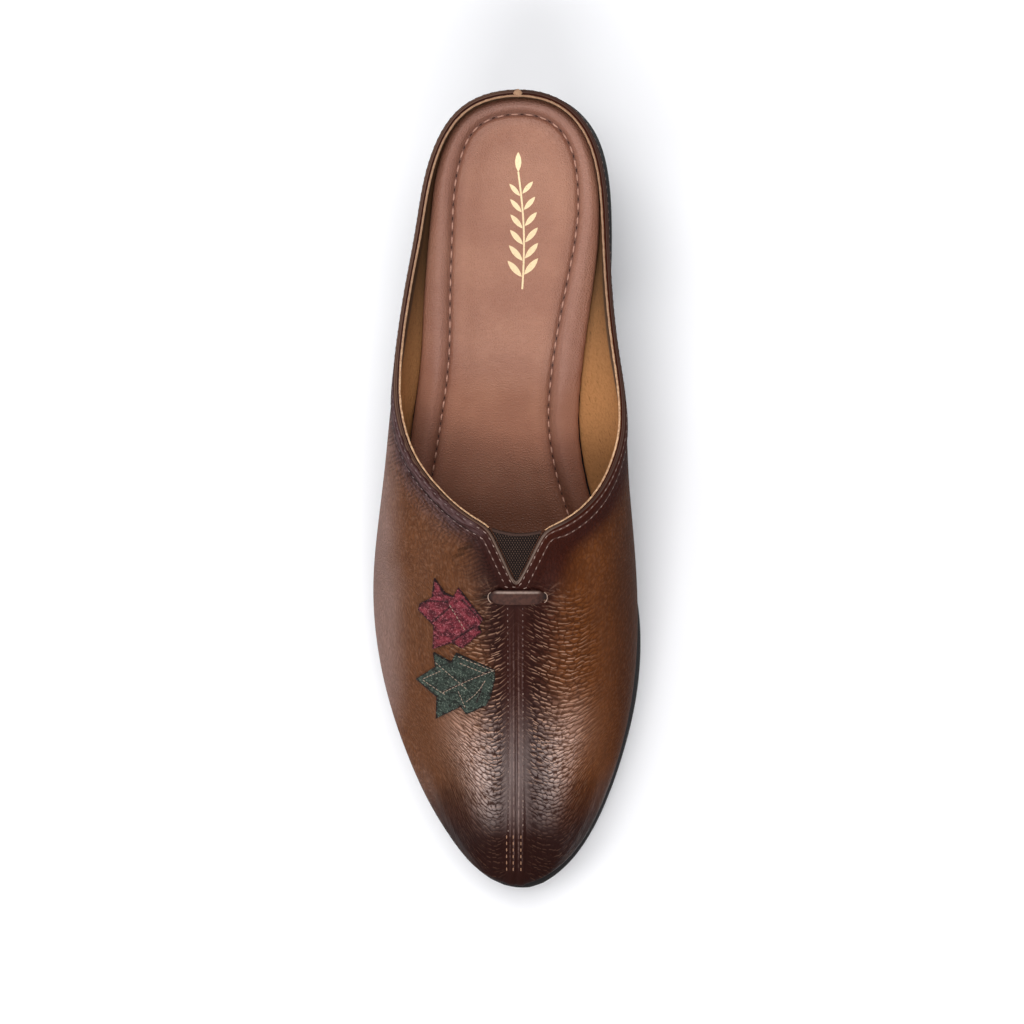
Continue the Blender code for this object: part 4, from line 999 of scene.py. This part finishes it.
channel_line = level_lines(insole, from_channel, 0.0, pad_top)[0]
channel_places = evenly(channel_line, SOCK_PITCH / 2)
stitch = new_stitch(SOCK_STITCH, SOCK_THREAD)
sock_thread = sewn("insole_stitches", stitch, [channel_places[::2]], insole_skin, lift=0.08)
sock_yarn = Finish("sock_thread", Roughness=0.6)
sock_twist = sock_yarn.noise(sock_yarn.here, 0.4, 2)
sock_yarn.feed(Base_Color=sock_yarn.mix(sock_twist, dye(150, 104, 88), dye(206, 162, 142)))
sock_yarn.put_on(sock_thread, "insole_leather")
# Dark capsules between the stitches are painted shade in the needle holes.
hole = new_stitch(HOLE_LONG, HOLE_WIDE)
sock_holes = sewn("insole_needle_holes", hole, [channel_places[1::2]], insole_skin, lift=-0.02)
needle_hole_shade = Finish("needle_hole", Roughness=0.9, Base_Color=dye(52, 26, 20))
needle_hole_shade.put_on(sock_holes, "insole_leather")

# -------- foil sprig
# A sprig of leaves in gold foil is pressed into the sock under the heel with a hot stamp, which
# leaves it as a thin film on the leather. It is rubbed a little dull in places.

SPRIG_FOOT, SPRIG_TIP = (6.0, 63.5), (5.0, 99.0)
SPRIG_BEND, SPRIG_LEAVES, LEAF_SMALLER = 1.1, 6, 0.05
LEAF_LONG, LEAF_WIDE, LEAF_TURN = 6.6, 1.9, 0.72
STEM_WIDE, STEM_STEPS, FOIL_ABOVE = 0.55, 30, 0.06


def leaf_outline(base, bearing, length, width, steps=9):
    """A pointed leaf from its stalk, in plan."""
    along = np.array((sin(bearing), cos(bearing)))
    aside = np.array((along[1], -along[0]))
    share = np.linspace(0, 1, steps)
    half = width / 2 * np.sin(share * pi) ** 0.8
    right = [base + along * s * length + aside * h for s, h in zip(share, half)]
    left = [base + along * s * length - aside * h for s, h in zip(share, half)]
    return np.array(right + left[-2:0:-1])


stem_way, stem_aside = np.array(SPRIG_TIP) - SPRIG_FOOT, np.array((1.0, 0.0))
stem = []
for share in np.linspace(0, 1, STEM_STEPS):
    stem.append(SPRIG_FOOT + stem_way * share + stem_aside * SPRIG_BEND * sin(share * pi))
shapes = [leaf_outline(stem[-1], 0.0, LEAF_LONG * 0.9, LEAF_WIDE)]
for k in range(SPRIG_LEAVES):
    size = 1 - LEAF_SMALLER * k
    for side in (-1, 1):
        base = stem[3 + k * 4] + (side * 0.35, 0.7 * (side > 0))
        shapes.append(leaf_outline(base, side * LEAF_TURN, LEAF_LONG * size, LEAF_WIDE * size))
half = stem_aside * STEM_WIDE / 2
for a, b in zip(stem, stem[1:]):
    shapes.append(np.array([a - half, a + half, b + half, b - half]))
foil_points, foil_faces = [], []
for outline in shapes:
    # Each shape is a fan of faces round its middle, which turn left and so face up.
    start, count = len(foil_points), len(outline)
    for px, py in (outline.mean(axis=0), *outline):
        foil_points.append((px, py, skin_height(px, py, insole_skin) + FOIL_ABOVE))
    foil_faces += [(start, start + i + 1, start + (i + 1) % count + 1) for i in range(count)]
foil = from_faces("foil_sprig", foil_points, foil_faces)
gold = Finish("gold_foil", Roughness=0.45, Metallic=0.4)
worn = gold.noise(gold.here, 0.6, 3, 0.7)
gold.feed(Base_Color=gold.mix(gold.fade(worn, 0.5, 0.75) * 0.6, dye(244, 218, 176), dye(204, 168, 124)))
gold.put_on(foil, "insole_leather")

# -------- lining joint
# A scrap of raw hide is glued over the place behind the heel where the lining's two ends meet. It is
# cut by hand and a little lumpy.

NUB_AT, NUB_SIZE = (5.2, 122.0), (1.3, 1.2, 0.5)

nub = ball(1, 24, 16)
nub.name = nub.data.name = "lining_joint"
bpy.ops.transform.resize(value=NUB_SIZE, center_override=(0, 0, 0))
bpy.ops.object.mode_set(mode="OBJECT")
bpy.ops.object.shade_smooth()
nub_points = places(nub)
lump = 1 + 0.12 * np.sin(nub_points[:, 0] * 5 + 1) * np.cos(nub_points[:, 1] * 6)
nub_height = rim_top_line[np.argmin(np.linalg.norm(rim_top_line[:, :2] - NUB_AT, axis=1)), 2]
put(nub, nub_points * lump[:, None] + (*NUB_AT, nub_height + 0.05))
raw_edge.put_on(nub, "upper_leather")

# -------- sole
# The outsole is one sheet of black rubber, cut to the last's outline and cemented on. Its edge is
# trimmed on a wheel, which leaves fine lines round it.

outsole = smoothed(cad_copy("sole", "outsole"), 2, held_above=40, hold=0.6)
rubber = Finish("black_rubber", Roughness=0.5)
speckle = rubber.noise(rubber.here, 0.5, 3)
trim_lines = (rubber.part(rubber.here, "Z") * (2 * pi / 1.1)).sine()
black = rubber.mix(speckle, dye(18, 17, 18), dye(34, 32, 33))
rubber.feed(Base_Color=black, Roughness=0.45 + speckle * 0.2)
rubber.relief(speckle * 0.04 + trim_lines * 0.012)
rubber.put_on(outsole, "sole_rubber", "sole")

# -------- heel
# The block heel is moulded, covered in thin black grained leather and screwed on through the heel
# seat. A top piece of the sole's rubber is nailed under it.

heel = smoothed(cad_copy("heel", "block_heel"), 2, held_above=40, hold=0.6)
cover = Finish("heel_cover", Coat_Weight=0.15, Coat_Roughness=0.3)
cover_grain = cover.cells(cover.here, 0.9, "DISTANCE_TO_EDGE")
cover_top = cover.fade(cover_grain, 0.0, 0.25)
cover_dye = cover.mix(cover_top, dye(16, 13, 12), dye(30, 25, 23))
cover.feed(Base_Color=cover_dye, Roughness=0.5 - cover_top * 0.1)
cover.relief(cover_top * 0.06)
cover.put_on(heel, "heel_block", "heel")
top_piece = smoothed(cad_copy("top_piece", "heel_top_piece"), 2, held_above=40, hold=0.6)
rubber.put_on(top_piece, "sole_rubber", "top_piece")

# -------- floor, light and camera
# The shoe stands on a plain pale floor. Soft boxes light it from above and both sides, and long
# strips lie as soft reflections in its polish. The camera looks down on it from 1.2 m above.

FLOOR_WIDE = 6.0  # metres
SKY, SKY_LIGHT = (0.9, 0.93, 1.0, 1), 0.13

bpy.ops.mesh.primitive_plane_add(size=FLOOR_WIDE)
floor = bpy.context.object
floor.name = "floor"
pale = Finish("pale_floor", Roughness=0.7, Base_Color=dye(246, 246, 248))
floor.data.materials.append(pale.material)

world = bpy.data.worlds.new("studio")
bpy.context.scene.world = world
world.use_nodes = True
backdrop = world.node_tree.nodes["Background"]
backdrop.inputs["Color"].default_value = SKY
backdrop.inputs["Strength"].default_value = SKY_LIGHT

AIM = Vector((2, -5, 25)) * MM
WHITE, WARM = (1.0, 1.0, 1.0), (1.0, 0.88, 0.84)
LAMPS = (
    # name, bearing from the toe and height in degrees, distance and size in millimetres, watts,
    # colour, and whether it lights matt surfaces and shows in gloss
    ("front_strip", -4, 36, 1100, (1500, 230), 12, WARM, False, True),
    ("front_box", -4, 60, 1100, (700, 300), 6, WHITE, True, False),
    ("left_box", -80, 20, 1300, (900, 500), 6, WHITE, True, True),
    ("right_box", 75, 25, 1500, (700, 600), 1.5, WHITE, True, True),
    ("left_strip", -48, 6, 1100, (900, 250), 2.2, WHITE, False, True),
    ("right_strip", 52, 6, 1100, (900, 250), 2.2, WHITE, False, True),
    ("top_box", -170, 68, 1500, (1100, 900), 17, WHITE, True, True),
)
for name, bearing, height, distance, size, watts, colour, on_matt, in_gloss in LAMPS:
    lamp = bpy.data.lights.new(name, "AREA")
    lamp.shape, lamp.energy = "RECTANGLE", watts
    lamp.size, lamp.size_y = size[0] * MM, size[1] * MM
    lamp.color = colour
    stand = added(name, lamp)
    stand.visible_diffuse, stand.visible_glossy = on_matt, in_gloss
    bearing, height = radians(bearing), radians(height)
    level = cos(height)
    toward = Vector((level * sin(bearing), -level * cos(bearing), sin(height)))
    stand.location = AIM + toward * distance * MM
    stand.rotation_euler = (stand.location - AIM).to_track_quat("Z", "Y").to_euler()

EYE = Vector((49.2, 2.05, 1200)) * MM
FIELD = 320 * MM  # how much it takes in at AIM
SENSOR = 36
camera = bpy.data.cameras.new("camera")
camera.sensor_width = SENSOR
camera.lens = SENSOR * (EYE - AIM).length / FIELD
tripod = added("camera", camera)
tripod.location = EYE
back = (EYE - AIM).normalized()
right = Vector((0, 1, 0)).cross(back).normalized()
tripod.rotation_euler = Matrix((right, back.cross(right), back)).transposed().to_euler()
bpy.context.scene.camera = tripod
bpy.context.scene.view_settings.view_transform = "Standard"
